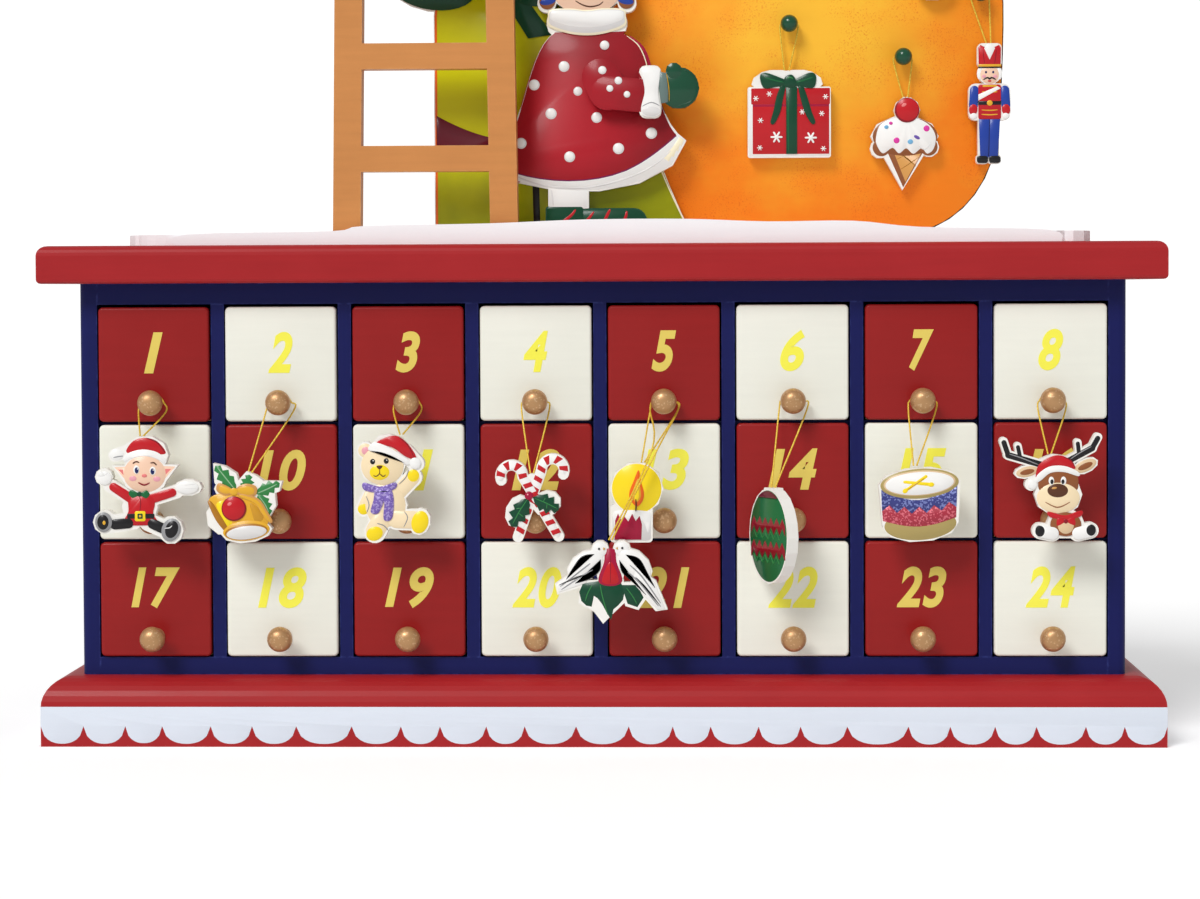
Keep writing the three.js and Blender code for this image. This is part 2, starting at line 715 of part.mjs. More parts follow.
// Sacks: tall flat bags with a tied neck and a ruffled mouth
function addLimeSack() {
  const body = new THREE.Shape();
  body.moveTo(-61.4, 0);
  body.lineTo(32.6, 0);
  body.bezierCurveTo(22, 22, 14, 44, 9, 72);
  body.bezierCurveTo(6, 86, -22, 86, -30, 94);
  body.lineTo(-52, 94);
  body.bezierCurveTo(-56, 90, -61, 88, -61.4, 80);
  const mouth = new THREE.Shape();
  mouth.moveTo(-52, 93);
  mouth.lineTo(-30, 93);
  mouth.bezierCurveTo(-26, 102, -22, 108, -16, 114);
  mouth.bezierCurveTo(-24, 112, -26, 120, -34, 116);
  mouth.bezierCurveTo(-40, 121, -46, 114, -51, 118);
  mouth.bezierCurveTo(-56, 113, -60, 116, -66, 113);
  mouth.bezierCurveTo(-60, 108, -55, 101, -52, 93);
  const bow = [
    oval(-62, 91.4, 17, 9.6, -10),
    oval(-20, 92, 15, 9, 12),
    polygon([[-40, 92], [-31, 92], [-17, 72.6], [-27, 71]]),
  ];
  const front = limeBack - limeSackThickness;
  add('sack_lime', plate([body, mouth, ...bow], front, limeBack, 8), limePaint, [0, 0, snowTop]);
}

const pegs = [
  { x: 68.6, z: 76.3 },
  { x: 110.1, z: 64 },
  { x: 138.2, z: 87 },
  { x: 121, z: 122 },
];

function addOrangeSack() {
  const body = new THREE.Shape();
  body.moveTo(12, 0);
  body.lineTo(116, 0);
  body.bezierCurveTo(132, 4, 145, 18, 146, 44);
  body.bezierCurveTo(147, 74, 149, 96, 142, 112);
  body.bezierCurveTo(134, 128, 106, 128, 96, 140);
  body.lineTo(54, 140);
  body.bezierCurveTo(44, 128, 10, 126, 3, 108);
  body.bezierCurveTo(-4, 84, -6, 30, 12, 0);
  const mouth = new THREE.Shape();
  mouth.moveTo(54, 139);
  mouth.lineTo(96, 139);
  mouth.bezierCurveTo(100, 150, 108, 158, 116, 164);
  mouth.bezierCurveTo(104, 162, 100, 171, 91, 166);
  mouth.bezierCurveTo(84, 173, 76, 164, 68, 170);
  mouth.bezierCurveTo(60, 163, 50, 170, 34, 163);
  mouth.bezierCurveTo(44, 157, 50, 150, 54, 139);
  const tie = [oval(75, 139.5, 23.5, 4.4), oval(56, 143, 13, 7.4, 20), oval(94, 143, 13, 7.4, -20)];
  const front = orangeBack - orangeSackThickness;
  const ball = pegNeckLength + pegBallRadius * pegBallSink;
  const profile = [[0, -1], [pegNeckRadius, -1], [pegNeckRadius, pegNeckLength - 0.5]];
  for (let step = 1; step <= pegBallSteps; step += 1) {
    const angle = Math.PI * (pegBallStart + ((1 - pegBallStart) * step) / pegBallSteps);
    const radius = step === pegBallSteps ? 0 : pegBallRadius * Math.sin(angle);
    profile.push([radius, ball - pegBallRadius * Math.cos(angle)]);
  }
  const turnedPegs = pegs.map(({ x, z }) => turned(profile, x, front, z, 8));
  const sack = plate([body, mouth, ...tie], front, orangeBack, 8);
  add('sack_orange', join([sack, ...turnedPegs]), orangePaint, [0, 0, snowTop]);
}

// Ornaments on the orange sack's pegs, drawn about the peg that carries each
const gift = { peg: 0, top: -17, x: -1, outlines: [
  roundedRectangle(-15.2, -48.8, 15.1, -23, 0.8),
  oval(-7, -20.4, 7, 3.6, 14),
  oval(5.4, -20.4, 7, 3.6, -14),
  disc(-0.8, -20, 3),
] };
const iceCream = { peg: 1, top: -14.6, x: 1, outlines: [
  disc(1.3, -19.5, 4.8),
  oval(0.4, -29, 12.4, 7.6),
  disc(-8.6, -33.4, 3.6),
  disc(9.4, -33, 3.6),
  polygon([[-8.6, -34], [-0.4, -48.6], [9, -33.4]]),
] };
const soldier = { peg: 2, top: -18.4, x: 3.4, outlines: [
  roundedRectangle(-1.2, -27.2, 7.6, -18.4, 1.6),
  disc(3.2, -29.6, 4),
  roundedRectangle(-4.4, -46.4, 10.8, -33, 2.4),
  roundedRectangle(-1, -60.6, 2.9, -44, 0.9),
  roundedRectangle(2.7, -60.6, 6.6, -44, 0.9),
  roundedRectangle(-1.7, -62.2, 2.9, -58.8, 1.2),
  roundedRectangle(2.7, -62.2, 7.4, -58.8, 1.2),
] };
const snowman = { peg: 3, top: -10.6, x: 0, outlines: [
  roundedRectangle(-3.6, -16.6, 3.6, -10.6, 0.8),
  oval(0, -16.8, 5.4, 1.4),
  disc(0, -20.4, 4.9),
  disc(0, -30.4, 7.2),
] };

function addPegOrnaments() {
  const face = orangeBack - orangeSackThickness;
  const back = face - pegOrnamentGap;
  for (const [name, { peg, top, x, outlines }] of Object.entries({ gift, iceCream, soldier, snowman })) {
    const place = pegs[peg];
    const end = { x, z: top - threadDiameter, reach: pegOrnamentGap + pegTieDepth };
    const loop = threadPoints(pegNeckRadius, pegBallRadius * pegLoopShare, pegOrnamentGap + threadStep, end, null);
    const thread = tubeAlong(loop.map(([px, out, z]) => [px, face - out, z]), threadDiameter, threadSides);
    const body = plate(outlines, back - pegOrnamentThickness, back);
    const label = name.replace(/[A-Z]/g, (letter) => `_${letter.toLowerCase()}`);
    add(`ornament_${label}`, join([body, thread]), ornamentPaint, [place.x, 0, snowTop + place.z]);
  }
}

addBoards();
addCase();
addDividerGrid();
addDrawers();
addHangings();
addSnow();
addLadder();
addFigure();
addLimeSack();
addOrangeSack();
addPegOrnaments();

export default calendar;
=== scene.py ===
"""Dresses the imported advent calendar: paint, threads, printed ornaments, camera and light.

Lengths in this file are millimetres; MM turns them into the metres of the frame.
"""
import math

import bmesh
import bpy
from bpy.props import FloatProperty, FloatVectorProperty, PointerProperty
from mathutils import Matrix, Vector


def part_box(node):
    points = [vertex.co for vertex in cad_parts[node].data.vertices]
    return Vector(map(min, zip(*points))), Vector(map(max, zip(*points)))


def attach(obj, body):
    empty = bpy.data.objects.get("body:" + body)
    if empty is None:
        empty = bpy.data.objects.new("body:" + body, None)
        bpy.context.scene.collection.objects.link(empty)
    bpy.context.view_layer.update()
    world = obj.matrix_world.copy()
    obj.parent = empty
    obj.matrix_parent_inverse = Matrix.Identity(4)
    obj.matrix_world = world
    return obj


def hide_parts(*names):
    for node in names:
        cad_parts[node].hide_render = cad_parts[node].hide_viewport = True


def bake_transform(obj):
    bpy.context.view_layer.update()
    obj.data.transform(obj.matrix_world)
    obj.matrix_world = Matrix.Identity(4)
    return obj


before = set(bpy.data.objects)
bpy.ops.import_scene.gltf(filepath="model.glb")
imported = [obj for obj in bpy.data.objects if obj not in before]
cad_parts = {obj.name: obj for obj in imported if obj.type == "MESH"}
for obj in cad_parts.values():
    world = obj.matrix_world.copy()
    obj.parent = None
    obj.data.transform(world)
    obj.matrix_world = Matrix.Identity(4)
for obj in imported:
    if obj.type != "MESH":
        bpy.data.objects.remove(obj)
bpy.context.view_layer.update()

bl_info = {
    "name": "Advent Calendar",
    "version": (1, 0, 0),
    "blender": (4, 5, 0),
    "location": "View3D > Sidebar > Calendar",
    "description": "Dresses the packed advent calendar with paint, threads and printed ornaments",
    "category": "Object",
}

MM = 0.001

# Drawers, as the frame has them; red and cream ones alternate like a chequerboard
COLUMNS = 8
DRAWER_COUNT = 24
RED_DRAWERS = {n for n in range(1, DRAWER_COUNT + 1) if sum(divmod(n - 1, COLUMNS)) % 2 == 0}
FACE_THICKNESS = 5
FACE_CORNER = 1.6
FACE_ROUND = 0.9
KNOB_REACH = 11.5
KNOB_HEIGHT = 7
KNOB_RADIUS = 4.6
KNOB_HEAD_LENGTH = 6.8
KNOB_NECK_RADIUS = 2.2
KNOB_FOOT_RADIUS = 3.4
KNOB_FOOT_LENGTH = 1.4
KNOB_SINK = 0.5
KNOB_UNDERSIDE_SHARE = 0.38
DRAWER_WALL = 2.2
DRAWER_FLOOR = 2
DRAWER_INSET = 0.3
DRAWER_DROP = 3.4
BOX_OVERLAP = 0.3
NUMBER_FROM_TOP = 16.3
NUMBER_RELIEF = 0.12
NUMBER_SINK = 0.1
NUMBER_EXTRUDE = 0.01
NUMBER_PAIR_WIDTH = 17.6
NUMBER_SLANT = 0.24
NUMBER_BOLDNESS = 0.034
NUMBER_SPACING = 1.1

# Threads, by the same route as the frame's own
THREAD_CLEARANCE = 0.3
FRAME_THREAD_RADIUS = 0.4
THREAD_SPREAD = 0.55
THREAD_STEP = 0.5
THREAD_REACH = (KNOB_FOOT_LENGTH + KNOB_REACH - KNOB_HEAD_LENGTH) / 2
THREAD_TUCK = 1
THREAD_SIDES = 8
THREAD_STEPS = 6
THREAD_OVER_SPREAD = 0.9
THREAD_OVER_SET_BACK = 0.9
LOOP_UNDER_HEAD = (0.92, -0.75)
LOOP_BESIDE_HEAD = 0.78
LOOP_BESIDE_NECK = (0.86, 0.75)
LOOP_OVER_NECK = 1.06
LOOP_FORWARD = 0.5

# Ornaments
ORNAMENT_THICKNESS = 5
PRINT_DEPTH = 0.6
PEG_PRINT_DEPTH = 0.5
FRONT_BAND = 0.5
PEG_FRONT_BAND = 0.3
INK_LIP = 0.07
INK_SINK = 0.05
PLY_EDGE = 0.35
BAUBLE_TURN = 60
BAUBLE_HALF_WIDTH = 13
BAUBLE_HALF_HEIGHT = 16.8
BAUBLE_CAP_BOTTOM = -3.6
BAND_TOPS = (-11.4, -19.8)
BAND_HALF_WIDTH = 11.4
BAND_DEPTH = 3.4
BAND_ZIGZAG = 1.3
BAND_STEPS = 12
BAND_LINE_DROP = 5
DRUM_STEPS = 10
CANE_CROOK = 1.12
CANE_CROOK_STEPS = 14
CANE_SHAFT_STEPS = 6
STROKE_TIP = 0.35
SACK_THICKNESS = 6
PEGS = {"gift": (68.6, 76.3), "ice_cream": (110.1, 64), "soldier": (138.2, 87), "snowman": (121, 122)}
PEG_NECK_RADIUS = 1.6
PEG_NECK_LENGTH = 3
PEG_BALL_RADIUS = 3.2
PEG_BALL_SINK = 0.7
PEG_BALL_START = 0.16
PEG_BALL_STEPS = 14
PEG_GAP = 0.8
PEG_PLATE = 4.5
PEG_TIE_DEPTH = 1.2
PEG_LOOP_SHARE = 0.9
PEG_NECK_OVERLAP = 0.2
PEG_SINK = 1
TIE_TRIM = 0.1
TIE_SINK = 0.4

# Boards, snow and the pieces on top
BASE_EDGE = 14
SCALLOP_RELIEF = 0.1
SCALLOP_SINK = 0.2
SCALLOP_LIP = 0.12
SCALLOP_OVER_EDGE = 0.3
SCALLOP_CUSP = 7.4
SCALLOP_LOWEST = 1.1
SCALLOP_DEEPEST_SHARE = 0.46
SCALLOP_FULLNESS = (2.3, 0.55)
SCALLOP_STEPS = 12
SCALLOP_WIDTHS = (
    15.4, 15, 13.2, 17.4, 14.8, 15.8, 19.8, 17.6, 13.9, 16.5, 13.6, 18.3, 18.7,
    15.6, 13.4, 17, 14.8, 16.5, 21.6, 14.7, 15.8, 14.5, 17.4, 13.6, 15,
)
END_SCALLOPS = SCALLOP_WIDTHS[5:11]
FIGURE_MIDDLE = 36
DRESS_HEIGHTS = (38, 73.5)
SHOE_HEIGHTS = (-1, 10)
CUFF_PLACES = (19.5, 27)
MITTEN_END = 60

# Camera and light
PHOTO_WIDTH = 1200
SENSOR_WIDTH = 36
CAMERA_PLACE = (36.15, -1086, 162.93)
CAMERA_DOWN = 2
CAMERA_LEFT = 1.97
CAMERA_ROLL = -0.255
FOCAL_PIXELS = 2947.8
MIDDLE_SHIFT_PIXELS = -58.9
SURROUND_LIGHT = 0.45
SURROUND_SEEN = 1.1
FLOOR_TONE = 0.93
FLOOR_GLOW = 0.25
FLOOR_HALF_WIDTH = 40
SUN_STRENGTH = 1.9
SUN_TOWARDS = (-0.4, -0.72, 0.72)
SUN_SOFTNESS = 22
SHINE = 0.2


def srgb(red, green, blue):
    """A colour given as eight-bit values, turned into the linear values that shaders take."""
    values = []
    for value in (red, green, blue):
        part = value / 255
        values.append(part / 12.92 if part <= 0.04045 else ((part + 0.055) / 1.055) ** 2.4)
    return tuple(values)


INKS = {
    "white": srgb(246, 245, 242),
    "pale": srgb(226, 224, 222),
    "grey": srgb(150, 150, 152),
    "black": srgb(28, 27, 30),
    "red": srgb(196, 26, 36),
    "dark_red": srgb(140, 18, 34),
    "crimson": srgb(168, 16, 58),
    "maroon": srgb(104, 22, 40),
    "pink": srgb(240, 168, 180),
    "blush": srgb(236, 130, 128),
    "skin": srgb(246, 206, 178),
    "peach": srgb(248, 226, 186),
    "cream": srgb(250, 240, 208),
    "yellow": srgb(252, 222, 30),
    "gold": srgb(232, 176, 48),
    "dark_gold": srgb(176, 118, 30),
    "khaki": srgb(176, 156, 96),
    "orange": srgb(240, 104, 24),
    "brown": srgb(146, 86, 48),
    "dark_brown": srgb(92, 54, 34),
    "tan": srgb(214, 156, 84),
    "beige": srgb(226, 196, 156),
    "green": srgb(22, 104, 56),
    "dark_green": srgb(12, 70, 46),
    "leaf": srgb(52, 132, 68),
    "pale_green": srgb(150, 190, 150),
    "blue": srgb(36, 66, 160),
    "navy": srgb(24, 34, 92),
    "sky": srgb(120, 180, 220),
    "purple": srgb(110, 84, 170),
    "magenta": srgb(222, 62, 164),
    "plum": srgb(126, 28, 88),
    "slate": srgb(104, 124, 120),
    "olive": srgb(120, 128, 8),
    "tea": srgb(206, 150, 40),
}
GLITTERS = {
    "blue_glitter": (srgb(52, 58, 130), srgb(132, 142, 204)),
    "red_glitter": (srgb(172, 40, 62), srgb(226, 116, 130)),
    "purple_glitter": (srgb(120, 96, 180), srgb(178, 160, 220)),
}
GLITTER_SHARE = 0.3


def length_property(label, description, length):
    """A length that the sidebar can change."""
    return FloatProperty(
        name=label, description=description, default=length * MM, subtype="DISTANCE", unit="LENGTH"
    )


def colour_property(label, description, colour):
    """A colour that the sidebar can change."""
    return FloatVectorProperty(
        name=label, description=description, default=colour, size=3, min=0, max=1, subtype="COLOR"
    )


class CalendarSizes(bpy.types.PropertyGroup):
    """Sizes that a user would change"""

    number_height: length_property("Number height", "Height of the painted drawer numbers", 14.7)
    thread_diameter: length_property("Thread diameter", "Thickness of the gold hanging threads", 0.6)
    edge_softness: length_property("Edge softness", "Width of the rounding on sawn and painted edges", 0.5)
    wear_width: length_property("Wear width", "How far the worn paint reaches in from an edge", 0.9)


class CalendarColours(bpy.types.PropertyGroup):
    """Paint colours that a user would change"""

    red: colour_property("Red", "Base board and top board", srgb(166, 32, 36))
    drawer_red: colour_property("Drawer red", "Half of the drawers", srgb(150, 26, 26))
    cream: colour_property("Cream", "The other half of the drawers", srgb(240, 240, 228))
    navy: colour_property("Navy", "Case, rails, dividers and back", srgb(14, 20, 84))
    snow: colour_property("Snow", "Snow plate and strip", srgb(253, 253, 255))
    scallop: colour_property("Scallop", "Painted border of the base board", srgb(222, 229, 240))
    ladder: colour_property("Ladder", "Ladder", srgb(206, 138, 78))
    bronze: colour_property("Bronze", "Knobs", srgb(190, 146, 100))
    gold_number: colour_property("Number on red", "Numbers of the red drawers", srgb(230, 206, 100))
    lemon_number: colour_property("Number on cream", "Numbers of the cream drawers", srgb(250, 244, 84))
    thread: colour_property("Thread", "Hanging threads", srgb(244, 214, 76))
    dress: colour_property("Dress", "Figure's dress", srgb(178, 26, 40))
    mitten: colour_property("Mitten", "Figure's mitten and the pegs", srgb(16, 74, 50))
    lime: colour_property("Lime", "Left sack", srgb(206, 206, 6))
    orange: colour_property("Orange", "Right sack, deeper tone", srgb(254, 136, 26))
    amber: colour_property("Amber", "Right sack, lighter tone", srgb(255, 192, 54))


def sizes():
    """The scene's own sizes."""
    return bpy.context.scene.calendar_sizes


def colours():
    """The scene's own paint colours."""
    return bpy.context.scene.calendar_colours


def linked(thing):
    """Puts an object in the scene."""
    bpy.context.scene.collection.objects.link(thing)
    return thing


# Node helpers
def feed(tree, sockets, **values):
    """Gives named sockets plain values or links; an underscore in a name stands for a space."""
    for key, value in values.items():
        set_socket(tree, sockets[key.replace("_", " ")], value)


def set_socket(tree, socket, value):
    """Links an output to a socket, or sets its plain value; colours come as three values."""
    if isinstance(value, bpy.types.NodeSocket):
        tree.links.new(value, socket)
    else:
        socket.default_value = (*value, 1) if socket.type == "RGBA" else value


def add_node(tree, kind, **values):
    """A node with these properties or input sockets; i0 is its first input, whatever its name."""
    node = tree.nodes.new(kind)
    for key, value in values.items():
        label = key.replace("_", " ")
        if label in node.inputs:
            set_socket(tree, node.inputs[label], value)
        elif key[0] == "i" and key[1:].isdigit():
            set_socket(tree, node.inputs[int(key[1:])], value)
        else:
            setattr(node, key, value)
    return node


def math_node(tree, operation, first, second=0.0, clamp=False):
    """The output of one arithmetic step."""
    node = add_node(tree, "ShaderNodeMath", operation=operation, use_clamp=clamp, i0=first, i1=second)
    return node.outputs[0]


def mix_colours(tree, factor, first, second):
    """The output of one colour mix."""
    node = add_node(tree, "ShaderNodeMix", data_type="RGBA", i0=factor, i6=first, i7=second)
    return node.outputs[2]


def ramp(tree, value, low, high):
    """A value between two limits, spread smoothly over 0 to 1."""
    node = add_node(tree, "ShaderNodeMapRange", Value=value, From_Min=low, From_Max=high)
    node.interpolation_type = "SMOOTHSTEP"
    return node.outputs[0]


def noise(tree, vector, scale, detail=3.0, roughness=0.55):
    """The value of a noise whose features are about one over scale, in metres."""
    node = add_node(
        tree, "ShaderNodeTexNoise", Vector=vector, Scale=scale, Detail=detail, Roughness=roughness
    )
    return node.outputs[0]


def stretched(tree, scale=(1, 1, 1)):
    """Object coordinates, scaled by axis."""
    where = tree.nodes.new("ShaderNodeTexCoord")
    return add_node(tree, "ShaderNodeMapping", Vector=where.outputs["Object"], Scale=scale).outputs[0]


def new_group(name, inputs, outputs):
    """An empty shader node group with named sockets, and its input and output nodes."""
    tree = bpy.data.node_groups.new(name, "ShaderNodeTree")
    for label, kind, default in inputs:
        socket = tree.interface.new_socket(name=label, in_out="INPUT", socket_type="NodeSocket" + kind)
        socket.default_value = (*default, 1) if kind == "Color" else default
    for label, kind in outputs:
        tree.interface.new_socket(name=label, in_out="OUTPUT", socket_type="NodeSocket" + kind)
    return tree, tree.nodes.new("NodeGroupInput").outputs, tree.nodes.new("NodeGroupOutput").inputs


def brushed_paint_group():
    """Sprayed and brushed paint: slow blotches, fine streaks along X and a pebbled surface."""
    tree, given, result = new_group(
        "Brushed Paint",
        (("Color", "Color", (1, 1, 1)), ("Variation", "Float", 0.1), ("Roughness", "Float", 0.45)),
        (("Color", "Color"), ("Roughness", "Float"), ("Height", "Float")),
    )
    plain = stretched(tree)
    blotch = noise(tree, plain, 55, 4)
    streak = noise(tree, stretched(tree, (30, 30, 420)), 1, 3)
    pebble = noise(tree, plain, 1400, 2)
    both = math_node(tree, "ADD", blotch, streak)
    swing = math_node(tree, "MULTIPLY", math_node(tree, "SUBTRACT", both, 1.0), given["Variation"])
    value = math_node(tree, "ADD", 1.0, swing)
    tint = add_node(tree, "ShaderNodeHueSaturation", Value=value, Color=given["Color"])
    rough = math_node(tree, "MULTIPLY", math_node(tree, "SUBTRACT", blotch, 0.5), 0.25)
    rough = math_node(tree, "ADD", given["Roughness"], rough, clamp=True)
    height = math_node(tree, "ADD", pebble, math_node(tree, "MULTIPLY", streak, 0.6))
    feed(tree, result, Color=tint.outputs[0], Roughness=rough, Height=height)
    return tree


def edge_wear_group():
    """Paint rubbed thin along edges, broken up by noise."""
    tree, given, result = new_group(
        "Edge Wear",
        (
            ("Color", "Color", (1, 1, 1)),
            ("Worn Color", "Color", (0.8, 0.7, 0.6)),
            ("Width", "Float", 0.001),
            ("Amount", "Float", 0.5),
        ),
        (("Color", "Color"), ("Mask", "Float")),
    )
    rounded = add_node(tree, "ShaderNodeBevel", samples=6, Radius=given["Width"])
    flat = tree.nodes.new("ShaderNodeNewGeometry")
    normals = {"i0": rounded.outputs[0], "i1": flat.outputs["Normal"]}
    match = add_node(tree, "ShaderNodeVectorMath", operation="DOT_PRODUCT", **normals)
    edge = ramp(tree, match.outputs["Value"], 0.995, 0.86)
    broken = ramp(tree, noise(tree, stretched(tree), 260, 5, 0.7), 0.42, 0.62)
    worn = math_node(tree, "MULTIPLY", edge, broken)
    mask = math_node(tree, "MULTIPLY", worn, given["Amount"], clamp=True)
    feed(tree, result, Mask=mask, Color=mix_colours(tree, mask, given["Color"], given["Worn Color"]))
    return tree


def wood_grain_group():
    """Pale sawn wood with growth lines along X."""
    tree, given, result = new_group(
        "Wood Grain",
        (
            ("Light", "Color", (0.7, 0.55, 0.35)),
            ("Dark", "Color", (0.5, 0.35, 0.2)),
            ("Scale", "Float", 1.0),
        ),
        (("Color", "Color"), ("Height", "Float")),
    )
    scaled = add_node(tree, "ShaderNodeVectorMath", operation="SCALE", i0=stretched(tree, (12, 90, 240)))
    feed(tree, scaled.inputs, Scale=given["Scale"])
    lines = math_node(tree, "MULTIPLY", noise(tree, scaled.outputs[0], 1, 5, 0.6), 0.75)
    fibres = math_node(tree, "MULTIPLY", noise(tree, scaled.outputs[0], 9, 2), 0.25)
    both = math_node(tree, "ADD", lines, fibres)
    share = ramp(tree, both, 0.38, 0.62)
    feed(tree, result, Color=mix_colours(tree, share, given["Light"], given["Dark"]), Height=both)
    return tree


def glitter_group():
    """Ink full of tiny flakes, some of them bright."""
    tree, given, result = new_group(
        "Glitter",
        (("Color", "Color", (1, 1, 1)), ("Flake Color", "Color", (1, 1, 1)), ("Share", "Float", 0.25)),
        (("Color", "Color"), ("Mask", "Float")),
    )
    cells = add_node(tree, "ShaderNodeTexVoronoi", Vector=stretched(tree), Scale=1900.0)
    pick = add_node(tree, "ShaderNodeSeparateColor", i0=cells.outputs["Color"])
    mask = math_node(tree, "LESS_THAN", pick.outputs[0], given["Share"])
    feed(tree, result, Mask=mask, Color=mix_colours(tree, mask, given["Color"], given["Flake Color"]))
    return tree


GROUP_MAKERS = {
    "Brushed Paint": brushed_paint_group,
    "Edge Wear": edge_wear_group,
    "Wood Grain": wood_grain_group,
    "Glitter": glitter_group,
}


def group_node(tree, name, **values):
    """One of the shared effects, placed in a material with its own values."""
    node = tree.nodes.new("ShaderNodeGroup")
    node.node_tree = bpy.data.node_groups.get(name) or GROUP_MAKERS[name]()
    feed(tree, node.inputs, **values)
    return node


def new_material(name, **constants):
    """A material with a lone Principled shader, its node tree and that shader."""
    material = bpy.data.materials.new(name)
    material.use_nodes = True
    tree = material.node_tree
    shader = tree.nodes["Principled BSDF"]
    feed(tree, shader.inputs, **constants)
    return material, tree, shader


def glossy_material(name, coat):
    """A new material for paint and ink, with a thin coat."""
    return new_material(name, Coat_Weight=coat, Coat_Roughness=0.15, Specular_IOR_Level=SHINE)


def bump(tree, shader, height, distance):
    """Feeds a height, through a Bump node, to the shader's normal."""
    node = add_node(tree, "ShaderNodeBump", Strength=1.0, Distance=distance * MM, Height=height)
    feed(tree, shader.inputs, Normal=node.outputs[0])


def painted(name, colour, roughness=0.45, variation=0.12, worn=None, wear=0.0, pebble=0.02, coat=0.0):
    """A painted surface, made once for each name; worn edges show the second colour."""
    found = bpy.data.materials.get(name)
    if found:
        return found
    material, tree, shader = glossy_material(name, coat)
    paint = group_node(tree, "Brushed Paint", Color=tuple(colour), Variation=variation, Roughness=roughness)
    seen = paint.outputs["Color"]
    if worn:
        width = sizes().wear_width
        edge = group_node(tree, "Edge Wear", Color=seen, Worn_Color=worn, Amount=wear, Width=width)
        seen = edge.outputs["Color"]
    feed(tree, shader.inputs, Base_Color=seen, Roughness=paint.outputs["Roughness"])
    bump(tree, shader, paint.outputs["Height"], pebble)
    return material


def ink(name):
    """The wash or glitter of that name, or else a glossy printed ink of that colour."""
    if name in WASHES:
        return WASHES[name]()
    if name in GLITTERS:
        return glitter_ink(name)
    return painted("ink_" + name, INKS[name], roughness=0.34, variation=0.05, pebble=0.006, coat=0.25)


def bronze():
    """Knob lacquer: a metallic bronze paint with a fine sparkle."""
    found = bpy.data.materials.get("knob_bronze")
    if found:
        return found
    material, tree, shader = new_material("knob_bronze", Coat_Weight=0.1, Coat_Roughness=0.3)
    paint = group_node(tree, "Brushed Paint", Color=tuple(colours().bronze), Variation=0.1, Roughness=0.42)
    sparkle = srgb(214, 176, 134)
    flakes = group_node(tree, "Glitter", Color=paint.outputs["Color"], Flake_Color=sparkle, Share=0.12)
    metal = math_node(tree, "ADD", math_node(tree, "MULTIPLY", flakes.outputs["Mask"], 0.2), 0.5)
    roughness = paint.outputs["Roughness"]
    feed(tree, shader.inputs, Base_Color=flakes.outputs["Color"], Roughness=roughness, Metallic=metal)
    bump(tree, shader, paint.outputs["Height"], 0.01)
    return material


def raw_wood():
    """Unpainted wood of the drawer boxes."""
    found = bpy.data.materials.get("raw_wood")
    if found:
        return found
    material, tree, shader = new_material("raw_wood", Roughness=0.7)
    grain = group_node(tree, "Wood Grain", Light=srgb(226, 198, 152), Dark=srgb(190, 150, 100), Scale=1.0)
    feed(tree, shader.inputs, Base_Color=grain.outputs["Color"])
    bump(tree, shader, grain.outputs["Height"], 0.05)
    return material


def ply_edge():
    """The white-painted plywood that the ornaments are cut from."""
    return painted("ply_white", srgb(244, 242, 236), 0.5, 0.06, srgb(214, 200, 176), 0.35)


def thread_material():
    """Gold thread: metallic fibres twisted round a core."""
    found = bpy.data.materials.get("gilt_thread")
    if found:
        return found
    material, tree, shader = new_material("gilt_thread", Metallic=0.15, Roughness=0.4)
    twist = noise(tree, stretched(tree), 2400, 2)
    shade = ramp(tree, twist, 0.35, 0.65)
    gold = mix_colours(tree, shade, srgb(214, 168, 44), tuple(colours().thread))
    feed(tree, shader.inputs, Base_Color=gold)
    bump(tree, shader, twist, 0.08)
    return material


# Outlines, as lists of (x, z) points seen from the front
def oval(x, z, half_width, half_height, turn=0, steps=30):
    """A full ellipse, turned anticlockwise by degrees."""
    angle = math.radians(turn)
    points = []
    for step in range(steps):
        around = 2 * math.pi * step / steps
        across, up = half_width * math.cos(around), half_height * math.sin(around)
        points.append((
            x + across * math.cos(angle) - up * math.sin(angle),
            z + across * math.sin(angle) + up * math.cos(angle),
        ))
    return points


def limb(x0, z0, x1, z1, radius, end_radius=None, steps=9):
    """A bar with round ends, which may taper."""
    end_radius = radius if end_radius is None else end_radius
    along = math.atan2(z1 - z0, x1 - x0)
    points = []
    quarter = math.pi / 2
    for x, z, size, start in ((x0, z0, radius, along + quarter), (x1, z1, end_radius, along - quarter)):
        for step in range(steps + 1):
            angle = start + math.pi * step / steps
            points.append((x + size * math.cos(angle), z + size * math.sin(angle)))
    return points


def smooth_route(points, steps, closed=False):
    """A smooth curve through points of a plane or of space, as vectors."""
    count = len(points)
    route = []
    for i in range(count if closed else count - 1):
        if closed:
            p = [Vector(points[(i + k) % count]) for k in (-1, 0, 1, 2)]
        else:
            p = [Vector(points[min(max(i + k, 0), count - 1)]) for k in (-1, 0, 1, 2)]
        for step in range(steps):
            t = step / steps
            route.append(0.5 * (
                2 * p[1] + (p[2] - p[0]) * t + (2 * p[0] - 5 * p[1] + 4 * p[2] - p[3]) * t * t
                + (3 * p[1] - p[0] - 3 * p[2] + p[3]) * t ** 3
            ))
    if not closed:
        route.append(Vector(points[-1]))
    return route


def blob(*points, steps=5):
    """A closed smooth outline through the points."""
    return [tuple(point) for point in smooth_route(points, steps, closed=True)]


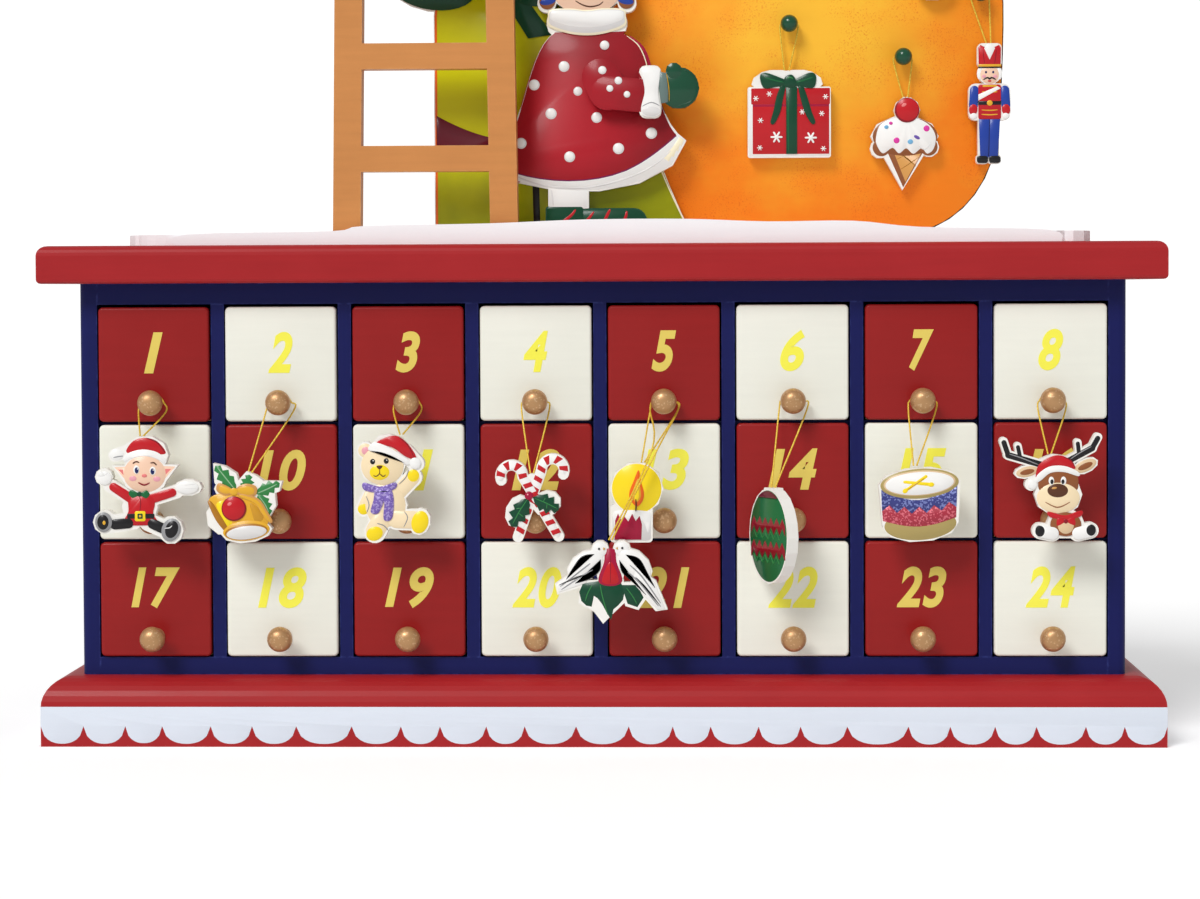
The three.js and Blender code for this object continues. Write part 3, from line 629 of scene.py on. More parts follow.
def bezier_outline(start, *pieces, steps=10):
    """Straight pieces are one point; curved ones are two handles and an end."""
    points = [start]
    for piece in pieces:
        if len(piece) == 2:
            points.append(tuple(piece))
            continue
        a, b, c, d = (Vector(p) for p in (points[-1], piece[:2], piece[2:4], piece[4:]))
        for step in range(1, steps + 1):
            t = step / steps
            u = 1 - t
            points.append(tuple(a * u ** 3 + 3 * b * u * u * t + 3 * c * u * t * t + d * t ** 3))
    if (Vector(points[0]) - Vector(points[-1])).length < 1e-6:
        points.pop()
    return points


def box_outline(left, bottom, right, top, radius=0.0, steps=4):
    """A rectangle whose corners may be round."""
    if radius <= 0:
        return [(left, bottom), (right, bottom), (right, top), (left, top)]
    points = []
    corners = ((right, bottom, 1.5), (right, top, 0), (left, top, 0.5), (left, bottom, 1))
    for x, z, start in corners:
        middle_x = x - radius if x == right else x + radius
        middle_z = z - radius if z == top else z + radius
        for step in range(steps + 1):
            angle = math.pi * (start + 0.5 * step / steps)
            points.append((middle_x + radius * math.cos(angle), middle_z + radius * math.sin(angle)))
    return points


def stroke(width, *points, steps=5):
    """A painted line through the points, thinner at its ends."""
    line = smooth_route(points, steps)
    left, right = [], []
    for i, here in enumerate(line):
        ahead = line[min(i + 1, len(line) - 1)] - line[max(i - 1, 0)]
        side = Vector((-ahead.y, ahead.x)).normalized()
        share = i / (len(line) - 1)
        half = 0.5 * width * (STROKE_TIP + (1 - STROKE_TIP) * math.sin(math.pi * share) ** 0.5)
        left.append(tuple(here + side * half))
        right.append(tuple(here - side * half))
    return right + left[::-1]


def moved(outline, dx, dz):
    """An outline carried to another place."""
    return [(x + dx, z + dz) for x, z in outline]


def anticlockwise(outline):
    """The outline in the order that inset and prism expect."""
    area = sum(a[0] * b[1] - b[0] * a[1] for a, b in zip(outline, outline[1:] + outline[:1]))
    return outline if area > 0 else outline[::-1]


def inset(outline, distance):
    """The outline drawn in by a distance along its own normals."""
    count = len(outline)
    result = []
    for i in range(count):
        here = Vector(outline[i])
        before = (here - Vector(outline[i - 1])).normalized()
        after = (Vector(outline[(i + 1) % count]) - here).normalized()
        normal = Vector((-before.y - after.y, before.x + after.x))
        if normal.length < 1e-6:
            normal = Vector((-before.y, before.x))
        normal.normalize()
        share = max(0.6, normal.dot(Vector((-before.y, before.x))))
        result.append(tuple(here + normal * (distance / share)))
    return result


# Mesh helpers
def prism(bm, outline, front, back, steps, material_index=0):
    """A flat piece between two depths; steps are the (inset, depth) of its worked front edge."""
    outline = anticlockwise(outline)
    rings = []
    for amount, y in [(0, back)] + [(amount, front + depth) for amount, depth in steps]:
        ring = inset(outline, amount) if amount else outline
        rings.append([bm.verts.new((x * MM, y * MM, z * MM)) for x, z in ring])
    faces = [bm.faces.new(rings[0]), bm.faces.new(rings[-1][::-1])]
    count = len(outline)
    for low, high in zip(rings, rings[1:]):
        for i in range(count):
            j = (i + 1) % count
            faces.append(bm.faces.new((low[j], low[i], high[i], high[j])))
    for face in faces:
        face.material_index = material_index


def rounded_steps(radius, count=3):
    """The (inset, depth) steps of a quarter-round edge."""
    steps = []
    for step in range(count + 1):
        angle = 0.5 * math.pi * step / count
        steps.append((radius * (1 - math.cos(angle)), radius * (1 - math.sin(angle))))
    return steps


def slab(bm, low, high, chamfer=0.25, material_index=0):
    """A board between two corners, with its long edges chamfered."""
    made = bmesh.ops.create_cube(bm, size=1.0)["verts"]
    middle = [(a + b) / 2 * MM for a, b in zip(low, high)]
    span = [(b - a) * MM for a, b in zip(low, high)]
    bmesh.ops.scale(bm, vec=span, verts=made)
    bmesh.ops.translate(bm, vec=middle, verts=made)
    edges = list({edge for vert in made for edge in vert.link_edges})
    result = bmesh.ops.bevel(bm, geom=edges, offset=chamfer * MM, segments=2, profile=0.5, affect="EDGES")
    for face in result["faces"]:
        face.material_index = material_index


def lathe(bm, profile, x, y, z, steps=36, material_index=0):
    """A turned piece whose axis runs to the front; its profile is (radius, reach)."""
    rings = []
    for radius, reach in profile:
        if radius < 1e-6:
            rings.append([bm.verts.new((x * MM, (y - reach) * MM, z * MM))])
            continue
        ring = []
        for step in range(steps):
            angle = 2 * math.pi * step / steps
            ring.append(bm.verts.new((
                (x + radius * math.cos(angle)) * MM, (y - reach) * MM, (z + radius * math.sin(angle)) * MM
            )))
        rings.append(ring)
    for low, high in zip(rings, rings[1:]):
        for i in range(steps):
            j = (i + 1) % steps
            corners = [low[i % len(low)], low[j % len(low)], high[j % len(high)], high[i % len(high)]]
            unique = list(dict.fromkeys(corners))
            if len(unique) > 2:
                bm.faces.new(unique).material_index = material_index


def smooth_by_angle(mesh, degrees=35):
    """Smooth shading that keeps edges sharper than the angle."""
    mesh.shade_smooth()
    mesh.set_sharp_from_angle(angle=math.radians(degrees))


def finished(name, bm, materials, body, angle=35):
    """Turns a bmesh into a piece that rides on a body."""
    bmesh.ops.recalc_face_normals(bm, faces=bm.faces)
    mesh = bpy.data.meshes.new(name)
    bm.to_mesh(mesh)
    bm.free()
    for material in materials:
        mesh.materials.append(material)
    smooth_by_angle(mesh, angle)
    piece = linked(bpy.data.objects.new(name, mesh))
    if body:
        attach(piece, body)
    return piece


def soften(thing, width, segments=2, angle=30):
    """Rounds the edges that are sharper than the angle."""
    modifier = thing.modifiers.new("soft_edges", "BEVEL")
    modifier.width = width
    modifier.segments = segments
    modifier.limit_method = "ANGLE"
    modifier.angle_limit = math.radians(angle)
    modifier.harden_normals = True


def dress_node(name, material, bevel=None, segments=2, angle=35):
    """Gives a frame node its material, smooth shading and softened edges."""
    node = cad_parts[name]
    node.data.materials.clear()
    node.data.materials.append(material)
    smooth_by_angle(node.data, angle)
    if bevel:
        soften(node, bevel, segments, angle)


def box_mm(node):
    """A frame node's lowest and highest corners, in millimetres."""
    low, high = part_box(node)
    return low / MM, high / MM


# Camera
def make_camera():
    """The photograph's viewpoint: looking slightly down and left, with the lens shifted a little."""
    data = bpy.data.cameras.new("photo_camera")
    data.sensor_width = SENSOR_WIDTH
    data.lens = FOCAL_PIXELS * SENSOR_WIDTH / PHOTO_WIDTH
    data.shift_y = MIDDLE_SHIFT_PIXELS / PHOTO_WIDTH
    data.clip_end = 100
    camera = bpy.data.objects.new("photo_camera", data)
    turn = Matrix.Rotation(math.radians(CAMERA_LEFT), 4, "Z")
    tilt = Matrix.Rotation(math.radians(90 - CAMERA_DOWN), 4, "X")
    roll = Matrix.Rotation(math.radians(CAMERA_ROLL), 4, "Z")
    camera.matrix_world = Matrix.Translation(Vector(CAMERA_PLACE) * MM) @ turn @ tilt @ roll
    bpy.context.scene.camera = linked(camera)


# Threads
HANGINGS = {
    "elf": {"knob": 1, "beside": -1.7, "drop": 11.1},
    "bells": {"knob": 2, "beside": -9.2, "drop": 24.4},
    "bear": {"knob": 3, "beside": -1, "drop": 10.7},
    "canes": {"knob": 4, "beside": -0.7, "drop": 24.6},
    "candle": {"knob": 5, "beside": -7.3, "drop": 20.8, "along": -THREAD_STEP},
    "doves": {"knob": 5, "beside": -18.7, "drop": 47.6, "along": THREAD_STEP, "over": (-3.2, -16.6)},
    "bauble": {"knob": 6, "beside": -7.4, "drop": 30.4},
    "drum": {"knob": 7, "beside": -3.3, "drop": 22.2},
    "reindeer": {"knob": 8, "beside": -2.1, "drop": 18.2},
}


def knob_place(number):
    """Where a knob's axis meets the face of its drawer."""
    low, high = box_mm(f"drawer_{number:02d}")
    return Vector(((low.x + high.x) / 2, low.y + KNOB_REACH, low.z + KNOB_HEIGHT))


def loop_points(neck_radius, head_radius, reach, end, over=None):
    """The thread's route from the ornament up round a neck and back: (x, reach, z) from the neck."""
    radius = FRAME_THREAD_RADIUS
    round_neck = neck_radius + radius + THREAD_CLEARANCE
    beside = head_radius + radius + THREAD_CLEARANCE
    x, out, z = end
    left = [(x + THREAD_SPREAD, out, z - THREAD_TUCK)]
    right = [(x - THREAD_SPREAD, out, z - THREAD_TUCK)]
    if over:
        left.append((over[0] + THREAD_OVER_SPREAD, over[1], over[2]))
        right.append((over[0] - THREAD_OVER_SPREAD, over[1], over[2]))
    for across, depth, up in (
        (beside * LOOP_UNDER_HEAD[0], reach + LOOP_FORWARD, head_radius * LOOP_UNDER_HEAD[1]),
        (beside * LOOP_BESIDE_HEAD, reach, 0),
        (round_neck * LOOP_BESIDE_NECK[0], reach, round_neck * LOOP_BESIDE_NECK[1]),
    ):
        left.append((across, depth, up))
        right.append((-across, depth, up))
    return left + [(0, reach, round_neck * LOOP_OVER_NECK)] + right[::-1]


def tube(name, route, diameter, material):
    """A round tube along a route in millimetres, unparented."""
    bm = bmesh.new()
    rings = []
    side = None
    for i, here in enumerate(route):
        ahead = (route[min(i + 1, len(route) - 1)] - route[max(i - 1, 0)]).normalized()
        if side is None:
            side = ahead.orthogonal().normalized()
        side = (side - ahead * side.dot(ahead)).normalized()
        other = ahead.cross(side)
        ring = []
        for step in range(THREAD_SIDES):
            angle = 2 * math.pi * step / THREAD_SIDES
            offset = (side * math.cos(angle) + other * math.sin(angle)) * diameter / 2
            ring.append(bm.verts.new((here + offset) * MM))
        rings.append(ring)
    for low, high in zip(rings, rings[1:]):
        for i in range(THREAD_SIDES):
            j = (i + 1) % THREAD_SIDES
            bm.faces.new((low[i], low[j], high[j], high[i]))
    bm.faces.new(rings[0][::-1])
    bm.faces.new(rings[-1])
    return finished(name, bm, [material], None, angle=80)


def make_threads():
    """Gold threads: each runs from its ornament round a knob's neck and back."""
    diameter = sizes().thread_diameter
    for name, hanging in HANGINGS.items():
        knob = knob_place(hanging["knob"])
        low, high = box_mm("thread_" + name)
        middle_reach = knob.y - (low.y + FRAME_THREAD_RADIUS)
        end = (hanging["beside"], middle_reach, -hanging["drop"] + THREAD_CLEARANCE + FRAME_THREAD_RADIUS)
        over = hanging.get("over")
        if over:
            over = (over[0], middle_reach - THREAD_OVER_SET_BACK, over[1])
        reach = THREAD_REACH + hanging.get("along", 0)
        points = loop_points(KNOB_NECK_RADIUS, KNOB_RADIUS, reach, end, over)
        placed = [(knob.x + x, knob.y - out, knob.z + z) for x, out, z in points]
        route = smooth_route(placed, THREAD_STEPS)
        piece = tube(f"hanging_thread_{name}", route, diameter / MM, thread_material())
        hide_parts("thread_" + name)
        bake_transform(piece)


# Case and boards
def red_paint():
    """Red paint of the boards, rubbed pale at its edges."""
    return painted("board_red", colours().red, 0.42, 0.13, srgb(206, 104, 96), 0.55, 0.02, 0.08)


def drawer_red():
    """Darker red of the drawers."""
    return painted("drawer_red", colours().drawer_red, 0.42, 0.13, srgb(196, 92, 84), 0.55, 0.02, 0.08)


def cream_paint():
    """Cream paint of the drawers."""
    return painted("drawer_cream", colours().cream, 0.42, 0.06, srgb(250, 250, 246), 0.5, 0.02, 0.08)


def navy_paint():
    """Navy paint of the case."""
    return painted("case_navy", colours().navy, 0.5, 0.16, srgb(70, 84, 160), 0.4, 0.03)


def scallop_outline(widths, start, cusp, lowest, top):
    """A band with a straight top and round lobes below, from (x, z) start values along X."""
    points = [(start, top)]
    x = start
    for width in widths:
        depth = min(cusp - lowest, SCALLOP_DEEPEST_SHARE * width)
        for step in range(SCALLOP_STEPS + 1):
            across = -1 + 2 * step / SCALLOP_STEPS
            drop = depth * (1 - abs(across) ** SCALLOP_FULLNESS[0]) ** SCALLOP_FULLNESS[1]
            points.append((x + width * step / SCALLOP_STEPS, cusp - drop))
        x += width
    points.append((x, top))
    return points


def make_base_board():
    """Base board with its painted scalloped border, carried round both ends."""
    dress_node("base_board", red_paint(), angle=20)
    low, high = box_mm("base_board")
    span = high.x - low.x
    total = sum(SCALLOP_WIDTHS)
    front = [width * span / total for width in SCALLOP_WIDTHS]
    depth = high.y - low.y
    side = [width * depth / sum(END_SCALLOPS) for width in END_SCALLOPS]
    material = painted("scallop_paint", colours().scallop, 0.36, 0.05, srgb(236, 240, 246), 0.3, 0.02, 0.1)
    runs = (
        ("front", front, low.x, (0, low.y, 0), 0),
        ("left", side, 0, (low.x, high.y, 0), -math.pi / 2),
        ("right", side, 0, (high.x, low.y, 0), math.pi / 2),
    )
    for label, widths, start, corner, turn in runs:
        bm = bmesh.new()
        top = BASE_EDGE + SCALLOP_OVER_EDGE
        outline = scallop_outline(widths, start, SCALLOP_CUSP, SCALLOP_LOWEST, top)
        relief = SCALLOP_RELIEF if label == "front" else SCALLOP_RELIEF / 2
        prism(bm, outline, -relief, SCALLOP_SINK, [(0, relief / 2), (SCALLOP_LIP, 0)])
        place = Matrix.Translation(Vector(corner) * MM) @ Matrix.Rotation(turn, 4, "Z")
        bmesh.ops.transform(bm, matrix=place, verts=bm.verts)
        finished("scallop_border_" + label, bm, [material], "case")


def make_top_board():
    """Top board, rounded above and below."""
    dress_node("top_board", red_paint(), angle=20)


def make_case():
    """Case sides, rails, back and the crossing dividers, all in navy paint."""
    navy = navy_paint()
    for name in ("case_side_left", "case_side_right"):
        dress_node(name, navy, angle=25)
    for name in ("case_bottom", "case_top", "back_panel"):
        dress_node(name, navy, sizes().edge_softness)
    dress_node("divider_grid", navy, sizes().edge_softness * 0.8)


# Drawers
def knob_profile():
    """Radius against reach of a turned knob, with a smooth mushroom head."""
    neck_end = KNOB_REACH - KNOB_HEAD_LENGTH
    points = [
        (0, -KNOB_SINK),
        (KNOB_FOOT_RADIUS - 0.1, -KNOB_SINK),
        (KNOB_FOOT_RADIUS - 0.1, KNOB_FOOT_LENGTH * 0.35),
        (KNOB_NECK_RADIUS + 0.5, KNOB_FOOT_LENGTH * 0.75),
        (KNOB_NECK_RADIUS - 0.05, KNOB_FOOT_LENGTH),
        (KNOB_NECK_RADIUS - 0.1, neck_end - 0.1),
        (KNOB_NECK_RADIUS + 0.2, neck_end + 0.2),
    ]
    under = KNOB_HEAD_LENGTH * KNOB_UNDERSIDE_SHARE
    for step in range(1, 6):
        share = step / 5
        spread = (KNOB_RADIUS - KNOB_NECK_RADIUS - 0.05) * share
        points.append((KNOB_NECK_RADIUS + spread, neck_end + 0.2 + under * share ** 1.2))
    dome = KNOB_HEAD_LENGTH - under - 0.2
    for step in range(1, 11):
        angle = 0.5 * math.pi * step / 10
        radius = 0 if step == 10 else (KNOB_RADIUS - 0.08) * math.cos(angle) ** 0.8
        points.append((radius, KNOB_REACH - dome + dome * math.sin(angle) - 0.02))
    return points


def make_drawer(number, paint):
    """One drawer: a rounded front, an open box of thin boards behind it and a turned knob."""
    label = f"drawer_{number:02d}"
    low, high = box_mm(label)
    face = low.y + KNOB_REACH
    top = high.z
    bm = bmesh.new()
    outline = box_outline(low.x, low.z, high.x, top, FACE_CORNER)
    prism(bm, outline, face, face + FACE_THICKNESS, rounded_steps(FACE_ROUND))
    front = finished(label + "_front", bm, [paint], label, 50)
    left, right = low.x + DRAWER_INSET, high.x - DRAWER_INSET
    start, end = face + FACE_THICKNESS - BOX_OVERLAP, high.y
    rim = top - DRAWER_DROP
    bm = bmesh.new()
    slab(bm, (left, start, low.z), (left + DRAWER_WALL, end, rim))
    slab(bm, (right - DRAWER_WALL, start, low.z), (right, end, rim))
    slab(bm, (left + DRAWER_WALL, end - DRAWER_WALL, low.z), (right - DRAWER_WALL, end, rim))
    bottom_corner = (right - DRAWER_WALL, end - DRAWER_WALL, low.z + DRAWER_FLOOR)
    slab(bm, (left + DRAWER_WALL, start, low.z), bottom_corner)
    tray = finished(label + "_box", bm, [raw_wood()], label)
    knob = knob_place(number)
    bm = bmesh.new()
    lathe(bm, knob_profile(), knob.x, face, knob.z)
    turned = finished(label + "_knob", bm, [bronze()], label, 60)
    for piece in (front, tray, turned):
        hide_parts(label)
    make_number(number, low, high, face)


def number_paint(number):
    """Gold on the red drawers, lemon on the cream ones."""
    if number in RED_DRAWERS:
        return painted("number_gold", colours().gold_number, 0.4, 0.06, pebble=0.01)
    return painted("number_lemon", colours().lemon_number, 0.4, 0.04, pebble=0.01)


def make_number(number, low, high, face):
    """The drawer's painted number, in a plain slanted bold face."""
    data = bpy.data.curves.new(f"number_{number:02d}_text", "FONT")
    data.body = str(number)
    data.shear = NUMBER_SLANT
    data.offset = NUMBER_BOLDNESS
    data.space_character = NUMBER_SPACING
    data.extrude = NUMBER_EXTRUDE
    data.align_x = "CENTER"
    data.resolution_u = 6
    text = linked(bpy.data.objects.new(data.name, data))
    mesh = bpy.data.meshes.new_from_object(text)
    bpy.data.objects.remove(text)
    bpy.data.curves.remove(data)
    across = [vert.co.x for vert in mesh.vertices]
    up = [vert.co.y for vert in mesh.vertices]
    height = sizes().number_height
    widest = (NUMBER_PAIR_WIDTH if number > 9 else NUMBER_PAIR_WIDTH * 0.5) * MM
    scale_up = height / (max(up) - min(up))
    scale_across = min(scale_up, widest / (max(across) - min(across)))
    middle_x = (low.x + high.x) / 2 * MM
    middle_z = (high.z - NUMBER_FROM_TOP) * MM
    shift_x = (max(across) + min(across)) / 2
    shift_z = (max(up) + min(up)) / 2
    for vert in mesh.vertices:
        x, z, y = vert.co
        outward = NUMBER_RELIEF if y > 0 else -NUMBER_SINK
        vert.co = (
            middle_x + (x - shift_x) * scale_across,
            (face - outward) * MM,
            middle_z + (z - shift_z) * scale_up,
        )
    bm = bmesh.new()
    bm.from_mesh(mesh)
    bpy.data.meshes.remove(mesh)
    bmesh.ops.remove_doubles(bm, verts=bm.verts, dist=1e-6)
    finished(f"number_{number:02d}", bm, [number_paint(number)], f"drawer_{number:02d}")


def make_drawers():
    """All the drawers, red and cream in a chequerboard."""
    for number in range(1, DRAWER_COUNT + 1):
        make_drawer(number, drawer_red() if number in RED_DRAWERS else cream_paint())


# Snow and ladder
def make_snow():
    """Snow plate and its strip, in thick white paint."""
    snow = painted("snow_white", colours().snow, 0.38, 0.05, srgb(255, 255, 255), 0.3, 0.05, 0.1)
    dress_node("snow", snow, 0.9 * MM, 3)


def make_ladder():
    """Ladder in tan paint, its edges rubbed."""
    tan = painted("ladder_tan", colours().ladder, 0.45, 0.18, srgb(226, 172, 118), 0.5, 0.04, 0.05)
    dress_node("ladder", tan, 0.7 * MM, 3)


# Floor and light
def make_stage():
    """A white floor that keeps the object's shadow, a soft sun and a pale surround."""
    floor_material, tree, shader = new_material("floor", Roughness=1.0, Specular_IOR_Level=0.0)
    path = tree.nodes.new("ShaderNodeLightPath")
    glow = math_node(tree, "MULTIPLY", path.outputs["Is Camera Ray"], FLOOR_GLOW)
    tone = (FLOOR_TONE, FLOOR_TONE, FLOOR_TONE)
    feed(tree, shader.inputs, Base_Color=tone, Emission_Color=(1, 1, 1), Emission_Strength=glow)
    bm = bmesh.new()
    bmesh.ops.create_grid(bm, x_segments=8, y_segments=8, size=FLOOR_HALF_WIDTH)
    finished("floor", bm, [floor_material], None)
    data = bpy.data.lights.new("sun_lamp", "SUN")
    data.energy = SUN_STRENGTH
    data.angle = math.radians(SUN_SOFTNESS)
    lamp = linked(bpy.data.objects.new("sun_lamp", data))
    lamp.rotation_euler = Vector(SUN_TOWARDS).to_track_quat("Z", "Y").to_euler()
    world = bpy.data.worlds.new("surround")
    world.use_nodes = True
    tree = world.node_tree
    path = tree.nodes.new("ShaderNodeLightPath")
    camera_ray, through_glass = path.outputs["Is Camera Ray"], path.outputs["Is Transmission Ray"]
    seen = math_node(tree, "ADD", camera_ray, through_glass, clamp=True)
    strength = add_node(tree, "ShaderNodeMapRange", Value=seen, To_Min=SURROUND_LIGHT, To_Max=SURROUND_SEEN)
    feed(tree, tree.nodes["Background"].inputs, Color=(1, 1, 1), Strength=strength.outputs[0])
    bpy.context.scene.world = world
    bpy.context.scene.view_settings.view_transform = "Standard"


# Printed pieces: a plywood core in the frame's own shape, and raised ink on its front
def core_piece(name, node, body, place=None, flat=True):
    """The frame node's shape; the front of a flat one is set back to leave room for the print."""
    place = place or Matrix.Identity(4)
    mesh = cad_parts[node].data.copy()
    mesh.name = name
    mesh.transform(place.inverted())
    front = min(vert.co.y for vert in mesh.vertices)
    for vert in mesh.vertices:
        if flat and vert.co.y < front + FRONT_BAND * MM:
            vert.co.y = front + PRINT_DEPTH * MM
    mesh.transform(place)
    mesh.materials.clear()
    mesh.materials.append(ply_edge())
    smooth_by_angle(mesh)
    piece = linked(bpy.data.objects.new(name, mesh))
    soften(piece, PLY_EDGE * MM)
    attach(piece, body)
    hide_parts(node)
    return piece


def print_piece(name, regions, body, place, depth=PRINT_DEPTH):
    """Ink regions in drawing order, each a little higher than the last, as one piece."""
    names = list(dict.fromkeys(colour for colour, _ in regions))
    materials = [ink(colour) for colour in names]
    rise = depth / (len(regions) + 1)
    bm = bmesh.new()
    for level, (colour, outline) in enumerate(regions, 1):
        height = level * rise
        lip = min(INK_LIP, height * 0.5)
        prism(bm, outline, -height, INK_SINK, [(0, lip), (lip, 0)], names.index(colour))
    bmesh.ops.transform(bm, matrix=place, verts=bm.verts)
    return finished(name, bm, materials, body, 50)


def hung_place(name):
    """The tie point of a hung ornament, at the plane that its print starts from."""
    hanging = HANGINGS[name]
    knob = knob_place(hanging["knob"])
    front = box_mm("ornament_" + name)[0].y + PRINT_DEPTH
    return Matrix.Translation(Vector((knob.x + hanging["beside"], front, knob.z - hanging["drop"])) * MM)


def make_hung(name, regions):
    """One hung ornament: its core and its print, riding together."""
    core_piece("hung_" + name, "ornament_" + name, name)
    print_piece(f"hung_{name}_print", regions, name, hung_place(name))


def banded(path, half_width, band, gap, colour):
    """Short bands of colour across a path, like a stick of rock."""
    line = [Vector(point) for point in path]
    regions = []
    travelled = 0.0
    stops = []
    for a, b in zip(line, line[1:]):
        stops.append((travelled, a, b))
        travelled += (b - a).length
    total = travelled

    def at(distance):
        for begun, a, b in reversed(stops):
            if distance >= begun:
                along = (b - a).normalized()
                return a + along * (distance - begun), Vector((-along.y, along.x))
        return line[0], Vector((0, 1))

    start = gap / 2
    while start + band < total:
        (p, side), (q, other) = at(start), at(start + band)
        slant = (q - p) * 0.35
        regions.append((colour, [
            tuple(p - side * half_width), tuple(q - other * half_width),
            tuple(q + other * half_width + slant), tuple(p + side * half_width + slant),
        ]))
        start += band + gap
    return regions


def holly(x0, z0, x1, z1, width, spikes=4):
    """A holly leaf from stalk to tip, with a spike between each pair of hollows."""
    start, end = Vector((x0, z0)), Vector((x1, z1))
    along = end - start
    side = Vector((-along.y, along.x)).normalized()
    halves = []
    for sign in (1, -1):
        points = []
        for i in range(spikes):
            share = i / spikes
            swell = math.sin(math.pi * min(0.95, share + 0.12)) ** 0.7
            points.append(start + along * share + side * sign * width * 0.62 * swell)
            points.append(start + along * (share + 0.62 / spikes) + side * sign * width * swell)
        halves.append(points)
    left, right = halves
    return [tuple(start)] + [tuple(p) for p in left[1:]] + [tuple(end)] + [tuple(p) for p in right[:0:-1]]


def marks(colour, shape, *each):
    """Several regions of one colour, each the same kind of outline with its own values."""
    return [(colour, shape(*values)) for values in each]


def star(x, z, radius, arms=6):
    """A small snow star of crossing strokes."""
    result = []
    for arm in range(arms // 2):
        angle = math.pi * arm * 2 / arms
        dx, dz = radius * math.cos(angle), radius * math.sin(angle)
        result.append(("white", limb(x - dx, z - dz, x + dx, z + dz, radius * 0.18, steps=3)))
    result.append(("white", oval(x, z, radius * 0.42, radius * 0.42, steps=10)))
    return result


def make_elf():
    """An elf with raised hands, a red hat and suit, a green bow tie and a buckled belt."""
    regions = [
        ("skin", [(-5.4, -11), (-9.4, -11.2), (-5.6, -15.6)]),
        ("skin", [(7.6, -10.8), (12.2, -11), (8, -15.8)]),
        ("blush", [(-6.4, -12), (-8.2, -12), (-6.2, -14)]),
        ("blush", [(8.6, -11.8), (10.8, -11.8), (8.6, -14)]),
        ("skin", oval(1.3, -13.6, 7.5, 6.5)),
        ("red", blob(
            (-5.2, -5.4), (-2.6, -1.9), (1.6, -0.8), (6, -2.2), (8.9, -6.2), (5, -6.6), (1, -5.8),
            (-3, -6.6),
        )),
        ("dark_red", stroke(0.6, (2, -0.9), (5.8, -2.4), (8.6, -6))),
        ("white", blob(
            (-6.2, -7.4), (-3, -5.6), (1.4, -4.9), (6, -6), (8.9, -8.6), (8.4, -10), (5.4, -8.2),
            (1.4, -7.2), (-3, -8), (-5.6, -9.4),
        )),
        ("pale", stroke(0.35, (-5.6, -9.2), (-3, -7.9), (1.4, -7.1), (5.4, -8.1), (8.2, -9.8))),
        ("white", oval(-8.6, -6.8, 2.5, 2)),
        ("grey", stroke(0.6, (-9.8, -7.8), (-8, -7.4), (-6.2, -7.2))),
        *marks("pink", oval, (-2.9, -15.2, 1.3, 0.9), (5.6, -15.4, 1.3, 0.9)),
        *marks("white", oval, (-1.6, -12.1, 1.1, 1.5), (4.2, -12.5, 1.1, 1.5)),
        *marks("navy", oval, (-1.5, -12.3, 0.75, 1.15), (4.1, -12.7, 0.75, 1.15)),
        *marks("white", oval, (-1.2, -11.8, 0.25, 0.3, 0, 8), (4.4, -12.2, 0.25, 0.3, 0, 8)),
        *marks(
            "dark_brown", stroke, (0.5, (-2.9, -9.9), (-1.8, -9.2), (-0.6, -9.5)),
            (0.5, (3.4, -9.7), (4.6, -9.6), (5.6, -10.5)),
        ),
        ("blush", oval(1.2, -14.2, 0.9, 0.6)),
        ("dark_red", stroke(0.55, (-1, -16.6), (1.1, -17.5), (3.1, -16.7))),
        *marks("red", limb, (-3.4, -22.4, -9.8, -18.2, 1.7, 1.5), (3, -22.6, 11, -20.2, 1.7, 1.5)),
        ("red", blob(
            (-4.4, -21.6), (-0.6, -20.8), (3.4, -21.2), (4.8, -24), (4.2, -27.6), (5.6, -31),
            (-0.6, -31.8), (-6.4, -31), (-4.6, -27),
        )),
        *marks("black", limb, (-4.6, -31, -9.4, -31.4, 1.8), (4, -31.2, 7.4, -32.8, 1.8)),
        ("dark_red", stroke(0.4, (-0.4, -21.4), (-0.2, -24.4), (-0.6, -27.4))),
        ("black", box_outline(-5, -29.4, 4.6, -27.6, 0.3)),
        ("yellow", box_outline(-2.3, -30.3, 1.5, -26.7, 0.6)),
        ("dark_green", box_outline(-1.4, -29.5, 0.6, -27.5, 0.4)),
        ("gold", oval(-0.4, -28.5, 0.5, 0.5, steps=10)),
        ("green", blob(
            (-0.6, -20.4), (-3.4, -19.2), (-4.4, -20.6), (-3, -22), (-0.6, -21.2), (1.8, -22.2),
            (3, -20.8), (1.8, -19.4),
        )),
        ("dark_green", oval(-0.6, -20.7, 0.9, 0.9, steps=12)),
        *marks("white", oval, (-12.9, -15, 2.5, 2.4), (-14.2, -13.6, 1.3, 1)),
        ("pale", stroke(0.35, (-14.6, -14.4), (-12.8, -14), (-11.6, -13))),
        ("white", oval(16.4, -18.4, 4, 2.2)),
        *marks(
            "pale", stroke, (0.35, (15.4, -17.6), (17.4, -17.4), (19.4, -17.2)),
            (0.35, (15.4, -18.8), (17.6, -18.7), (19.8, -18.7)),
        ),
        ("grey", oval(-13.4, -30.6, 3, 3.5)),
        ("black", oval(-13.6, -30.6, 2.1, 2.7)),
        ("gold", oval(-13.2, -30.8, 0.6, 0.8, steps=10)),
        ("grey", oval(10.5, -33.4, 3.3, 4.1, -20)),
        ("black", oval(10.8, -33.2, 2.3, 3.2, -20)),
        ("pale", stroke(0.5, (8.2, -32.8), (10, -32.6), (11, -31.8))),
    ]
    make_hung("elf", regions)


